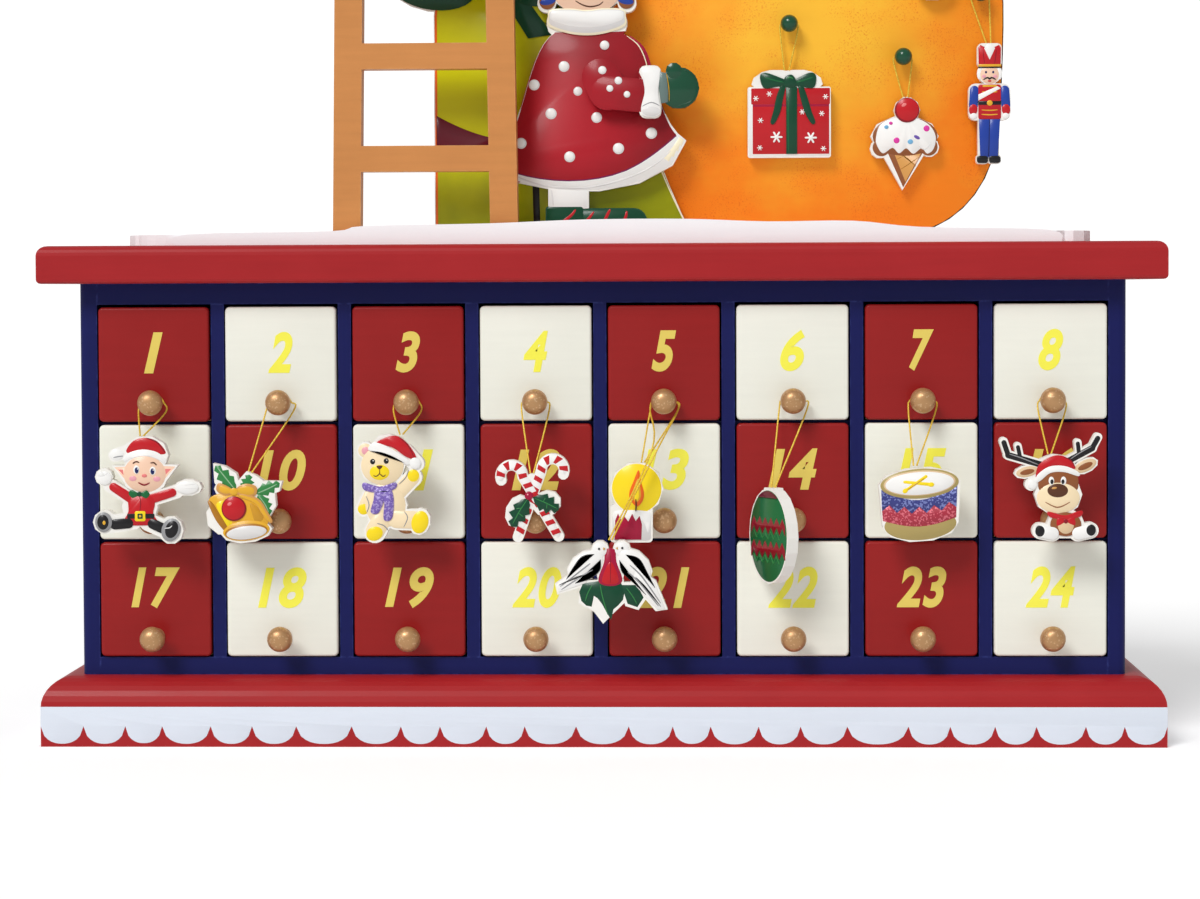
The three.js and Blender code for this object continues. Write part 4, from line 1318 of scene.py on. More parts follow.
def make_bells():
    """Golden bells on their side with a bow, a red ball and holly."""
    regions = [
        *marks(
            "leaf", holly, (-4.4, -6.6, -11.8, 2.6, 2.9), (-1.4, -7, 0.2, -0.6, 2.6),
            (2.4, -7.4, 11, -3.6, 2.6), (3.2, -7.6, 7.4, -14.8, 2.9),
        ),
        *marks(
            "pale_green", stroke, (0.4, (-4.8, -6), (-8, -2), (-11, 1.8)),
            (0.4, (3, -7.2), (6.4, -5.8), (10, -4)), (0.4, (3.4, -8), (5.6, -11), (7, -14)),
        ),
        ("gold", blob(
            (-14.2, -9.6), (-10, -7.2), (-4, -7), (2, -9.4), (5.4, -13), (6.6, -18), (0, -20.4),
            (-7.6, -21), (-11.4, -16.4),
        )),
        ("yellow", blob(
            (-11.6, -11), (-8.6, -9.8), (-7.4, -13), (-6, -17.4), (-7.2, -19.6), (-9.8, -15.6),
        )),
        ("tea", blob((0.4, -10.6), (3.4, -12.4), (5.2, -16), (2.4, -17.6), (1, -14))),
        ("dark_gold", blob(
            (-14.6, -10.2), (-13, -10.4), (-10.4, -14.4), (-6.8, -20.6), (-8.2, -21), (-11.8, -16.6),
        )),
        ("gold", oval(-1, -20.4, 8.3, 3.5, 6)),
        ("dark_gold", oval(-1, -20.8, 7.7, 2.9, 6)),
        ("pale", oval(-0.9, -21.1, 7.2, 2.4, 6)),
        ("tan", blob((-6.6, -5.2), (-10.6, -3.6), (-11.4, -6.2), (-8.4, -8), (-5.4, -7))),
        ("gold", blob((-6.4, -5.6), (-9.8, -4.4), (-10.4, -6.2), (-8.2, -7.3), (-5.6, -6.8))),
        ("tan", blob((-4.8, -5.8), (-1.4, -3.8), (2.6, -4.8), (2.4, -7.8), (-1.6, -8.4), (-4.4, -7.4))),
        ("gold", blob((-4.4, -6.1), (-1.4, -4.6), (1.7, -5.4), (1.6, -7.4), (-1.6, -7.7))),
        ("tan", stroke(2.2, (-3.4, -7.8), (2.6, -9.8), (5.6, -14), (8, -17.6))),
        ("gold", stroke(1.4, (-3.4, -7.9), (2.6, -10.2), (5.3, -14.1), (7.4, -17.2))),
        ("gold", oval(-5.3, -6.6, 1.5, 1.3)),
        ("dark_red", oval(-5.3, -12.6, 4.4, 4.4)),
        ("red", oval(-5.4, -12.5, 4, 4)),
        ("blush", oval(-6.8, -10.9, 0.9, 0.6, 30, 12)),
    ]
    make_hung("bells", regions)


def make_bear():
    """A cream bear waving, with a red hat and a purple scarf."""
    regions = [
        ("peach", oval(-12.6, -5.9, 2.5, 2.5)),
        ("pink", oval(-12.5, -6, 1.4, 1.4, steps=14)),
        ("peach", limb(-11, -21.6, -13.3, -26.2, 2.2)),
        ("yellow", oval(-13.4, -26.6, 2, 1.9)),
        ("peach", limb(-0.8, -20.6, 4, -15.6, 2.5)),
        ("yellow", oval(4.3, -14.8, 2.1, 2.2)),
        ("peach", oval(-5.6, -25.2, 7.1, 7.7)),
        ("peach", limb(-7.4, -31, -9.3, -34.2, 3.3)),
        ("yellow", oval(-9.5, -35.2, 3, 2.5, 20)),
        ("peach", limb(-1.6, -30.2, 4.6, -30.4, 3.1)),
        ("yellow", oval(6.5, -31.2, 3, 4, -15)),
        ("peach", oval(-6.6, -11.2, 7.5, 6.9)),
        *marks(
            "grey", stroke, (0.35, (-12.4, -22), (-11.4, -25), (-12.2, -27.8)),
            (0.35, (-0.8, -17.8), (1.6, -15.4), (2.6, -12.8)),
            (0.35, (1, -27.4), (2.2, -29.6), (0.8, -33)),
            (0.35, (-8.6, -31.6), (-6.2, -32.4), (-4.6, -34.2)),
        ),
        ("yellow", oval(-7.6, -13.6, 3.5, 2.7)),
        *marks("black", oval, (-10, -9.8, 0.9, 1, 0, 14), (-5.2, -9.6, 0.9, 1, 0, 14)),
        *marks("white", oval, (-9.8, -9.5, 0.25, 0.25, 0, 8), (-5, -9.3, 0.25, 0.25, 0, 8)),
        ("dark_brown", blob((-8.7, -11.3), (-6.5, -11.3), (-7.6, -12.6))),
        *marks(
            "dark_brown", stroke, (0.35, (-7.6, -12.4), (-7.6, -14), (-8.8, -15), (-9.8, -14.6)),
            (0.35, (-7.6, -14), (-6.4, -15), (-5.4, -14.5)),
        ),
        *marks(
            "purple_glitter", blob,
            ((-13.2, -17.2), (-7.6, -18.6), (-2, -17.2), (-2.2, -19.4), (-7.4, -20.8), (-13, -19.8)),
            ((-9, -19.6), (-5.4, -19.6), (-6.2, -24), (-8.2, -28), (-10.8, -27.6), (-9.8, -23.4)),
            ((-6.6, -19.6), (-3.6, -19.4), (-2.6, -24), (-3.4, -30), (-6.2, -30.2), (-6, -24.6)),
        ),
        ("navy", stroke(0.3, (-9, -20.6), (-6, -20.2), (-4.2, -20.4))),
        ("red", blob(
            (-8.6, -3.4), (-5, -1.2), (-1, -0.9), (3, -4.2), (5.4, -8.6), (2, -8.2), (-3, -4.8),
        )),
        ("dark_red", stroke(0.5, (-0.6, -1.2), (2.6, -4.2), (4.6, -8.2))),
        ("white", blob(
            (-11.6, -5.2), (-9.4, -3), (-4.4, -4.6), (1.6, -8.4), (3.4, -10), (1.6, -10.8), (-4, -7.4),
            (-10, -6.2),
        )),
        ("pale", stroke(0.3, (-11, -6), (-7, -6.4), (-2.6, -8), (1.4, -10.4))),
        ("white", oval(5, -10.4, 2, 2)),
    ]
    make_hung("bear", regions)


def cane_path(side, hook_x, hook_z, hook_radius, foot_x, foot_z):
    """The middle line of a candy cane, from the free end of its crook to its foot."""
    points = []
    for step in range(CANE_CROOK_STEPS + 1):
        angle = math.pi * CANE_CROOK * (1 - step / CANE_CROOK_STEPS)
        across, up = side * hook_radius * math.cos(angle), hook_radius * math.sin(angle)
        points.append((hook_x + across, hook_z + up))
    bend_x = hook_x + side * hook_radius
    for step in range(1, CANE_SHAFT_STEPS + 1):
        share = step / CANE_SHAFT_STEPS
        points.append((bend_x + (foot_x - bend_x) * share, hook_z + (foot_z - hook_z) * share))
    return points


def make_canes():
    """Two crossed candy canes with holly and a berry."""
    regions = []
    for path in (cane_path(-1, 7.4, 0.9, 4, -4.9, -22.6), cane_path(1, -7.1, -1.2, 3.9, 9.4, -22.4)):
        regions.append(("white", stroke(3.4, *path, steps=1)))
        regions += banded(path, 1.5, 1.7, 2.1, "red")
    regions += [
        *marks("dark_green", holly, (-1.2, -8.8, -7.2, -19, 3.6), (0.4, -8.6, 9.6, -13, 3.6)),
        *marks(
            "leaf", stroke, (0.4, (-1.6, -9.4), (-4.4, -13.6), (-6.8, -18)),
            (0.4, (1, -8.9), (5, -10.6), (9, -12.6)), (0.3, (-3.6, -12.4), (-5.6, -12.6)),
            (0.3, (-4.6, -14.2), (-3, -15.4)), (0.3, (4, -10.2), (4.8, -8.8)),
            (0.3, (5.4, -10.8), (5.2, -12.6)),
        ),
        ("crimson", oval(-1, -8, 1.5, 1.5, steps=16)),
        ("pink", oval(-1.4, -7.6, 0.35, 0.3, steps=8)),
    ]
    make_hung("canes", regions)


def make_candle():
    """A candle with dripping wax, its flame in a round yellow glow."""
    regions = [
        ("yellow", oval(-2.2, -9.4, 8.7, 8.7, steps=44)),
        ("pale", box_outline(-10.8, -27.7, 2.7, -18.4, 1.2)),
        ("white", blob(
            (-10.4, -18), (-6, -17), (2, -17.6), (2.6, -21), (1.8, -25), (0.6, -22), (-0.8, -20.6),
            (-3, -21.6), (-4.6, -20.8), (-6.4, -22.4), (-8.4, -21), (-9.6, -23.4),
        )),
        ("crimson", [
            (-10, -27.4), (-9.8, -20.6), (-8.8, -18.2), (-7.6, -20.6), (-6.6, -19), (-5.2, -21),
            (-3.8, -18.2), (-2.6, -20.8), (-1.2, -19), (-0.4, -22), (-0.6, -27.4),
        ]),
        ("orange", blob(
            (-2.8, -15.4), (-4.6, -13), (-4.7, -10.4), (-3.2, -6.6), (-1.5, -2.9), (-0.7, -7),
            (0.3, -10.6), (0, -13.4), (-1.4, -15.4),
        )),
        ("gold", blob(
            (-2.5, -14.2), (-3.6, -12.4), (-3.5, -10.2), (-1.7, -5.9), (-0.8, -10.2), (-0.9, -12.8),
        )),
        ("yellow", blob(
            (-2.4, -13.8), (-3, -12.2), (-2.6, -10.2), (-1.8, -8.2), (-1.4, -10.6), (-1.5, -12.6),
        )),
        ("dark_brown", stroke(0.55, (-2.6, -17.4), (-2.4, -15.4), (-2.5, -13))),
    ]
    make_hung("candle", regions)


def make_doves():
    """Two white doves facing a ribbon over holly."""
    regions = [
        ("dark_green", blob(
            (-9.6, -15.4), (-10.2, -21.6), (-6.6, -23.6), (-5.8, -19.8), (-3, -22.6), (0.2, -28.2),
            (1, -24.6), (4.4, -21.2), (3.6, -15), steps=2,
        )),
        ("dark_green", [(3.8, -16), (6, -22.6), (9.4, -23.8), (11.6, -20.4), (9.4, -16)]),
        *marks(
            "leaf", stroke, (0.35, (-3.6, -16), (-2.8, -20), (-1, -26.4)),
            (0.35, (-6.4, -16), (-8, -19), (-8.8, -21.6)), (0.35, (5.6, -17), (7.8, -20), (9.2, -22.6)),
        ),
        ("crimson", blob(
            (-1.6, -3.6), (1.6, -3.6), (2.2, -8), (4.2, -14.6), (0, -16.4), (-4.2, -14.6), (-2.2, -8),
        )),
        ("red", blob((-0.9, -8.6), (1, -8.6), (3, -14.6), (0, -15.8), (-3, -14.6))),
        ("dark_red", stroke(0.4, (0, -4.4), (0.1, -9), (0, -15.4))),
        *marks("white", oval, (-3.7, -3.7, 2.5, 2.5), (-8.6, -9.2, 6.7, 4.3, 34)),
        ("white", [(-10.4, -9.8), (-18.7, -15.6), (-18.1, -18.5), (-8.4, -15.2)]),
        *marks("white", oval, (4.1, -3.5, 2.5, 2.5), (8.4, -9.2, 6.7, 4.3, -44)),
        ("white", [(9.4, -9.8), (15.4, -14.8), (19.1, -24.4), (16.2, -24.5), (7.4, -14.6)]),
        *marks(
            "black", stroke, (0.35, (-5.6, -5.2), (-9.8, -6), (-13, -10), (-15.4, -14)),
            (0.35, (-3.4, -7), (-3.8, -10.8), (-7.4, -13.8), (-12.4, -15.4)),
        ),
        *marks(
            "grey", stroke, (0.5, (-7, -8.4), (-10.4, -11), (-17.6, -16.6)),
            (0.5, (-6, -10.6), (-10, -12.8), (-17.2, -17.6)),
        ),
        *marks(
            "black", stroke, (0.3, (-8.6, -12.4), (-12, -13.2), (-18, -16)),
            (0.35, (5.4, -5.4), (10, -6.8), (13, -12), (15.6, -17)),
            (0.35, (3.2, -7.2), (4.2, -11.4), (8, -15), (12.4, -19.4)),
        ),
        *marks(
            "grey", stroke, (0.5, (6.8, -9), (11, -13), (17.6, -22.4)),
            (0.5, (6, -11.4), (10.4, -15.4), (16.8, -23.4)),
        ),
        ("black", stroke(0.3, (8.8, -13.2), (12.6, -17), (17.6, -23.6))),
        *marks("black", oval, (-3.9, -3.3, 0.4, 0.4, 0, 10), (4.2, -3, 0.4, 0.4, 0, 10)),
        ("tea", [(-1.6, -3.2), (-2.4, -2.8), (-2.4, -3.8)]),
        ("tea", [(1.8, -3), (2.6, -2.6), (2.6, -3.6)]),
    ]
    make_hung("doves", regions)


def make_bauble():
    """A flat bauble with zigzag bands, hanging turned almost edge on."""
    low, high = box_mm("ornament_bauble")
    hanging = HANGINGS["bauble"]
    knob = knob_place(hanging["knob"])
    centre = Vector(((low.x + high.x) / 2, (low.y + high.y) / 2, knob.z - hanging["drop"]))
    turn = Matrix.Rotation(-math.radians(BAUBLE_TURN), 4, "Z")
    place = Matrix.Translation(centre * MM) @ turn
    core_piece("hung_bauble", "ornament_bauble", "bauble", place)
    half_width, half_height = BAUBLE_HALF_WIDTH, BAUBLE_HALF_HEIGHT
    body = oval(0, -half_height, half_width - 0.7, half_height - 0.7, steps=56)
    regions = [("green", body)]
    for top in BAND_TOPS:
        upper, lower = [], []
        for step in range(BAND_STEPS + 1):
            x = -BAND_HALF_WIDTH + 2 * BAND_HALF_WIDTH * step / BAND_STEPS
            z = top + (BAND_ZIGZAG if step % 2 else -BAND_ZIGZAG)
            reach = half_width * math.sqrt(max(0, 1 - ((top - 2 + half_height) / half_height) ** 2)) - 1.1
            x = max(-reach, min(reach, x))
            upper.append((x, z))
            lower.append((x, z - BAND_DEPTH))
        regions.append(("dark_red", lower + upper[::-1]))
        regions.append(("leaf", stroke(0.4, *moved(upper[1:-1], 0, -BAND_LINE_DROP), steps=1)))
    rim = oval(0, -half_height, half_width - 0.9, half_height - 0.9, steps=80)
    regions.append(("maroon", [point for point in rim if point[1] > BAUBLE_CAP_BOTTOM]))
    front = Matrix.Translation((0, (-ORNAMENT_THICKNESS / 2 + PRINT_DEPTH) * MM, 0))
    print_piece("hung_bauble_print", regions, "bauble", place @ front)


def glitter_ink(name):
    """Ink with flakes in it, made once."""
    found = bpy.data.materials.get(name)
    if found:
        return found
    material, tree, shader = new_material(name, Roughness=0.4)
    colour, flake = GLITTERS[name]
    flakes = group_node(tree, "Glitter", Color=colour, Flake_Color=flake, Share=GLITTER_SHARE)
    shine = math_node(tree, "MULTIPLY", flakes.outputs["Mask"], 0.5)
    feed(tree, shader.inputs, Base_Color=flakes.outputs["Color"], Metallic=shine)
    bump(tree, shader, flakes.outputs["Mask"], 0.05)
    return material


def sagging(left, width, z, tilt, sag, zigzag=0):
    """A line across the drum's side, lowest in the middle, that may zigzag."""
    points = []
    for step in range(DRUM_STEPS + 1):
        share = step / DRUM_STEPS
        jog = zigzag if step % 2 else -zigzag
        points.append((left + width * share, z + tilt * share - sag * math.sin(math.pi * share) + jog))
    return points


def make_drum():
    """A drum seen from above: white head with crossed sticks, blue over red, khaki rims."""
    bottom = sagging(-11.4, 25.6, -19.6, 1.3, 2.6)
    zigzag = sagging(-11.7, 26, -14.9, 1.4, 1.6, 1.2)
    top = sagging(-12, 26.6, -8.6, 1.9, 4.6)
    regions = [
        ("khaki", oval(1.7, -20.9, 12.6, 5.4, 4, 44)),
        ("red_glitter", bottom + zigzag[::-1]),
        ("blue_glitter", zigzag + top[::-1]),
        ("khaki", oval(1.4, -6.5, 13.7, 5.2, 4, 48)),
        ("beige", oval(1.4, -6.3, 12.6, 4.4, 4, 44)),
        ("white", oval(1.4, -6.4, 12, 4, 4, 44)),
        *marks("yellow", limb, (-3.6, -9, 3.6, -4, 0.5, 0.6), (-3.8, -5.9, 5.4, -6.8, 0.5, 0.6)),
        *marks("yellow", oval, (-3.6, -9, 1, 0.8, 35, 14), (5.4, -6.8, 1.1, 0.8, 0, 14)),
        ("tea", stroke(0.3, (-2.8, -8.6), (0.4, -6.4), (3, -4.6))),
    ]
    make_hung("drum", regions)


def make_reindeer():
    """A sitting reindeer with dark antlers, a red hat and a red scarf."""
    antlers = (
        (-3, -4, -14.6, -0.6, 1.1), (-14.6, -0.6, -16.1, 3.8, 0.9), (-10.4, -1.6, -11.2, 2.2, 0.7),
        (6.4, -2.6, 14.6, 1.8, 1.1), (14.6, 1.8, 16.5, 5.2, 0.9), (10, -0.2, 9.6, 3.4, 0.7),
    )
    regions = [("black", limb(*bar)) for bar in antlers]
    regions += [
        *marks(
            "grey", stroke, (0.4, (-4, -4), (-10, -1.6), (-14.2, -0.2)),
            (0.4, (7, -2), (11, 0.6), (14.4, 2.4)),
        ),
        ("beige", oval(-8, -6.4, 3.9, 1.8, 12)),
        ("brown", oval(-8, -6.5, 2.6, 1, 12)),
        ("beige", oval(12.2, -4.4, 4.1, 2, 24)),
        ("brown", oval(12.2, -4.5, 2.8, 1.1, 24)),
        ("brown", blob(
            (-4.2, -10), (-3, -6.6), (2.4, -5), (8.4, -6.6), (9.8, -10.4), (8, -13.4), (-2.6, -13.4),
        )),
        ("peach", oval(2.8, -15.6, 7.5, 5.4)),
        *marks("white", oval, (0.4, -9.6, 1, 1.5), (4.6, -9.6, 1, 1.5)),
        *marks("black", oval, (0.6, -9.9, 0.6, 0.9, 0, 14), (4.4, -9.9, 0.6, 0.9, 0, 14)),
        ("dark_brown", oval(2.6, -13, 3.6, 2.4)),
        ("tan", oval(1.4, -12.1, 1, 0.45, 10, 14)),
        ("brown", stroke(0.4, (-1.8, -17), (2.6, -18.9), (7, -17))),
        ("red", blob(
            (-5, -8.6), (-4, -4), (1, -0.9), (5.4, -1.3), (8.8, -5), (6, -5.4), (1, -4.4), (-3.4, -7.4),
        )),
        ("dark_red", stroke(0.45, (4.6, -1.2), (7.2, -2.6), (8.6, -4.8))),
        ("white", blob(
            (-5, -10.2), (-4.6, -7.6), (-0.4, -4.6), (5, -4.4), (9.6, -6.4), (9.8, -8), (5, -6.6),
            (0.2, -6.8), (-3.2, -9.4),
        )),
        ("white", oval(-6.2, -10.8, 1.7, 1.7)),
        ("brown", oval(5.4, -24.8, 5.4, 4.2)),
        ("beige", oval(5.4, -25.4, 2.8, 2.8)),
        *marks(
            "red", blob,
            ((-0.6, -20.4), (5, -21.6), (10.8, -20), (10.6, -22), (5.2, -23.4), (-0.2, -22.2)),
            ((5.4, -23.6), (2.6, -22.6), (2.4, -25.4)), ((5.4, -23.6), (8.2, -22.4), (8.6, -25.2)),
        ),
        ("dark_red", oval(5.4, -23.8, 0.8, 0.8, steps=12)),
        ("white", limb(0.8, -28, -3.2, -27.3, 2.2)),
        ("black", oval(-3.6, -27.2, 1.7, 2)),
        ("white", limb(9.8, -28, 13.8, -27.1, 2.2)),
        ("black", oval(14.2, -26.9, 1.7, 2)),
    ]
    make_hung("reindeer", regions)


HUNG_MAKERS = (
    make_elf, make_bells, make_bear, make_canes, make_candle, make_doves, make_bauble, make_drum,
    make_reindeer,
)


# Pieces that stand on the snow
def nearness(tree, centre, near, far):
    """1 within the near distance of a point, falling to 0 at the far one."""
    place = Vector(centre) * MM
    node = add_node(tree, "ShaderNodeVectorMath", operation="DISTANCE", i0=stretched(tree), i1=place)
    return ramp(tree, node.outputs["Value"], far * MM, near * MM)


def washed(name, light, dark, centre, near, far, roughness=0.4, coat=0.15, speckle=None):
    """Paint that is lighter round one point, mottled, and may carry fine specks of a third colour."""
    found = bpy.data.materials.get(name)
    if found:
        return found
    material, tree, shader = glossy_material(name, coat)
    plain = stretched(tree)
    mottle = math_node(tree, "SUBTRACT", noise(tree, plain, 34, 4, 0.6), 0.5)
    mottle = math_node(tree, "MULTIPLY", mottle, 1.3)
    share = math_node(tree, "ADD", nearness(tree, centre, near, far), mottle, clamp=True)
    colour = mix_colours(tree, share, tuple(dark), tuple(light))
    if speckle:
        fine = ramp(tree, noise(tree, plain, 1500, 2, 0.7), 0.54, 0.66)
        where = ramp(tree, noise(tree, plain, 60, 2), 0.42, 0.6)
        specks = math_node(tree, "MULTIPLY", math_node(tree, "MULTIPLY", fine, where), 0.55)
        colour = mix_colours(tree, specks, colour, speckle)
    paint = group_node(tree, "Brushed Paint", Color=colour, Variation=0.05, Roughness=roughness)
    feed(tree, shader.inputs, Base_Color=paint.outputs["Color"], Roughness=paint.outputs["Roughness"])
    bump(tree, shader, paint.outputs["Height"], 0.01)
    return material


def dress_wash():
    """The figure's red, brightest low in the middle of the skirt."""
    return washed("dress_red", colours().dress, srgb(138, 22, 32), (-10, -11, 218), 6, 48, 0.42, 0.12)


def mitten_green():
    """Glossy dark green of the mitten and the pegs."""
    return painted("mitten_green", colours().mitten, 0.24, 0.1, pebble=0.006, coat=0.5)


def lime_wash():
    """The left sack's yellow-green, darker towards its sides and foot."""
    return washed("lime_wash", colours().lime, srgb(146, 150, 4), (-48, -5, 246), 18, 74, 0.4, 0.12)


def orange_wash():
    """The right sack's amber, deeper and specked towards its edges."""
    specks = srgb(228, 88, 22)
    return washed("orange_wash", colours().amber, colours().orange, (78, 0, 262), 6, 84, 0.5, 0.0, specks)


WASHES = {"dress": dress_wash, "mitten": mitten_green, "lime": lime_wash, "wash": orange_wash}


def snow_top():
    """The height of the snow plate, on which the figure and the sacks stand."""
    return box_mm("sack_lime")[0].z


def painted_round(piece, zones, materials):
    """Paints a core all over in the first material, and each zone (axis, low, high) in the next one."""
    piece.data.materials.clear()
    for material in materials:
        piece.data.materials.append(material)
    for face in piece.data.polygons:
        for number, (axis, low, high) in enumerate(zones, 1):
            if low * MM <= face.center[axis] < high * MM:
                face.material_index = number


def standing_place(x, front):
    """The print plane of a piece standing on the snow, for drawings about x and the snow's top."""
    return Matrix.Translation(Vector((x, front + PRINT_DEPTH, snow_top())) * MM)


def drawn_in(outline, margin=0.4):
    """An outline kept a little inside the sawn edge."""
    return inset(anticlockwise(outline), margin)


def dots(*places):
    """Paint dots, each a pale ring and a white middle: (x, z, radius)."""
    regions = []
    for x, z, radius in places:
        regions.append(("pale", oval(x, z, radius, radius, steps=24)))
        regions.append(("white", oval(x - 0.05, z + 0.1, radius * 0.78, radius * 0.78, steps=20)))
    return regions


def make_figure():
    """A child in a dotted red dress and hat, with a white hem, collar, cuff and a striped shoe."""
    whole = bezier_outline(
        (-12, 73.5), (-20, 68, -22, 52, -27, 38), (-30, 31, -34, 29, -36, 24), (-22, 14, 14, 11, 31, 25),
        (36, 34), (30, 38, 28, 44, 25, 54), (22, 66, 20, 70, 12, 73.5),
    )
    red = bezier_outline(
        (-11.6, 73.2), (-19.5, 68, -21.5, 52, -26.5, 38.3), (-29.5, 31.5, -33.2, 29.5, -34.6, 26),
        (-24, 19.6, -2, 16.6, 14, 23.2), (22, 26.8, 28, 32, 32.4, 35.8), (29.6, 38.5, 27.6, 44, 24.6, 54),
        (21.6, 66, 19.6, 70, 11.8, 73.2),
    )
    fur = [
        (35.2, 34), (34.2, 31.6), (33.6, 31.9), (33, 29.6), (32.3, 30), (31.4, 27.6), (30.7, 28),
        (29.6, 26), (27.6, 27.4), (31, 31.4), (33.4, 35),
    ]
    regions = [
        ("white", box_outline(-14, 9.2, 0, 19)),
        ("pale", stroke(0.6, (-12.6, 10.4), (-12.8, 13), (-13.2, 16))),
        ("dark_green", limb(-9, 4.6, 16.8, 4.6, 4.2)),
        ("dark_green", box_outline(-15, 0.4, -1.6, 9.8, 1)),
        *marks(
            "red", stroke, (1.1, (-14.6, 3.2), (-10, 4), (-6.4, 6.4), (-4.4, 8.8)),
            (1.1, (-13, 0.8), (-5, 1.8), (-0.6, 4.6), (2.2, 8)),
            (1.1, (2, 0.9), (5.4, 3.6), (7.4, 7.4), (8.2, 8.8)),
            (1.1, (9.6, 0.8), (12.4, 3.4), (13.8, 6), (14.2, 8.2)),
        ),
        ("navy", box_outline(-14.4, 0.35, 17.4, 1.5, 0.4)),
        ("white", drawn_in(whole, 0.35)),
        ("cream", fur),
        ("pale", stroke(0.8, (-30, 22.6), (-16, 17.6), (0, 16.8), (14, 20), (24, 24.6), (30.4, 30))),
        ("plum", moved(red, 0.15, -0.45)),
        ("dress", red),
        ("crimson", stroke(0.9, (15.6, 71.6), (20.2, 67.6), (22.6, 62), (23.8, 56))),
        ("cream", stroke(0.5, (14.4, 71.8), (18.6, 68.4), (21.2, 63), (22.4, 57))),
        *dots(
            (-8.4, 60.8, 2), (-19.3, 54.2, 2), (-3.4, 51.8, 1.65), (-13.2, 43.7, 2.05), (3.4, 42.2, 1.95),
            (23.3, 36.4, 2.05), (11.3, 30.9, 2.05), (-6.5, 28, 2), (-24.2, 33, 2), (6.4, 68.4, 1.7),
        ),
        *marks("brown", limb, (-13, 92, -14.4, 84.4, 2.9), (13, 92, 14.4, 84.4, 2.9)),
        *marks("blue", oval, (-14.2, 84.4, 2.9, 1.3, 10), (14.2, 84.4, 2.9, 1.3, -10)),
        ("skin", oval(0, 92.8, 13.8, 13.8, steps=48)),
        ("brown", blob(
            (-13, 95), (-11, 99.6), (0, 104), (11, 99.6), (13, 95), (8, 98.2), (0, 99.4), (-8, 98.2),
        )),
        *marks("pink", oval, (-8.4, 88, 2.8, 2.1), (8.6, 88, 2.8, 2.1)),
        *marks("white", oval, (-4.8, 92.6, 1.6, 2), (4.8, 92.6, 1.6, 2)),
        *marks("dark_brown", oval, (-4.7, 92.2, 0.95, 1.35), (4.7, 92.2, 0.95, 1.35)),
        ("blush", oval(0.4, 88.6, 1.2, 0.9)),
        ("dark_brown", stroke(0.55, (-4.2, 84.6), (-1.4, 83), (1.4, 82.4), (4.4, 83), (6, 84.2))),
        ("red", drawn_in([(-13.5, 101), (13.5, 101), (8, 113), (15, 119), (12, 123), (2, 119)], 0.5)),
        ("dark_red", stroke(0.7, (9.6, 104), (6.4, 112), (10, 117.4), (13.4, 120))),
        *marks("white", oval, (15, 119.6, 4, 4), (0, 99.5, 15.8, 5.2)),
        ("pale", stroke(0.8, (-13.6, 97.6), (-6, 95.2), (4, 95), (13.6, 97.6))),
        ("cream", blob(
            (-14.2, 78.6), (-13.2, 81.4), (-6, 81.8), (0, 81.2), (6, 81.8), (13.2, 81.4), (14.2, 78.8),
            (13.8, 75.2), (7, 72.8), (0, 72), (-7, 72.8), (-13.8, 75.2),
        )),
        ("pale", blob(
            (-13.8, 78.6), (-12.8, 81), (-6, 81.4), (0, 80.8), (6, 81.4), (12.8, 81), (13.8, 78.8),
            (13.2, 75.9), (7, 73.6), (0, 72.8), (-7, 73.6), (-13.2, 75.9),
        )),
        ("white", blob(
            (-13.4, 78.8), (-12.4, 80.8), (-6, 81.1), (0, 80.5), (6, 81.1), (12.4, 80.8), (13.4, 79),
            (12.4, 77.4), (7, 75.6), (0, 74.9), (-7, 75.6), (-12.4, 77.4),
        )),
    ]
    corner = box_mm("figure")[0]
    middle = corner.x + FIGURE_MIDDLE
    core = core_piece("figure_core", "figure", "case")
    foot = snow_top()
    zones = [(2, foot + low, foot + high) for low, high in (DRESS_HEIGHTS, SHOE_HEIGHTS)]
    painted_round(core, zones, [ply_edge(), dress_wash(), mitten_green()])
    print_piece("figure_print", regions, "case", standing_place(middle, corner.y))
    arm = [
        *marks("dress", limb, (5.2, 56.4, 7.6, 51.6, 6.85), (7.6, 51, 19.6, 49.8, 5.85)),
        *dots((5.7, 59, 1.5), (11.5, 55.2, 1.4), (8.4, 52.4, 1.25), (14.6, 50.2, 1.2)),
        *marks("mitten", oval, (33.4, 52.4, 7.25, 7.45), (31.6, 58.6, 2.85, 2.85)),
        ("dark_green", stroke(0.8, (35.6, 58.8), (39.2, 56), (40, 51.8), (37.8, 47.4), (33, 45.9))),
        ("white", blob(
            (19.6, 59.4), (22.6, 60.2), (26.4, 59.4), (26.6, 57), (25.9, 51), (26.6, 46), (26.6, 43),
            (24, 42.1), (20.4, 42.5), (19.7, 45.4), (21, 51), (20.3, 56),
        )),
        ("pale", oval(23.4, 44, 3.3, 1.8)),
        ("grey", stroke(0.4, (20, 45.8), (23.4, 47.2), (26.4, 46))),
        ("slate", [(26.6, 58.2), (28.8, 57.8), (29.6, 52.6), (29.4, 47.2), (26.8, 46.8), (26.2, 52)]),
        ("gold", stroke(0.35, (28.9, 57.6), (29.7, 52.6), (29.9, 47.6))),
    ]
    core = core_piece("figure_arm_core", "figure_arm", "case")
    cuff_start, cuff_end = (middle + place for place in CUFF_PLACES)
    zones = [(0, cuff_start, cuff_end), (0, cuff_end, middle + MITTEN_END)]
    painted_round(core, zones, [dress_wash(), ply_edge(), mitten_green()])
    front = box_mm("figure_arm")[0].y
    print_piece("figure_arm_print", arm, "case", standing_place(middle, front))


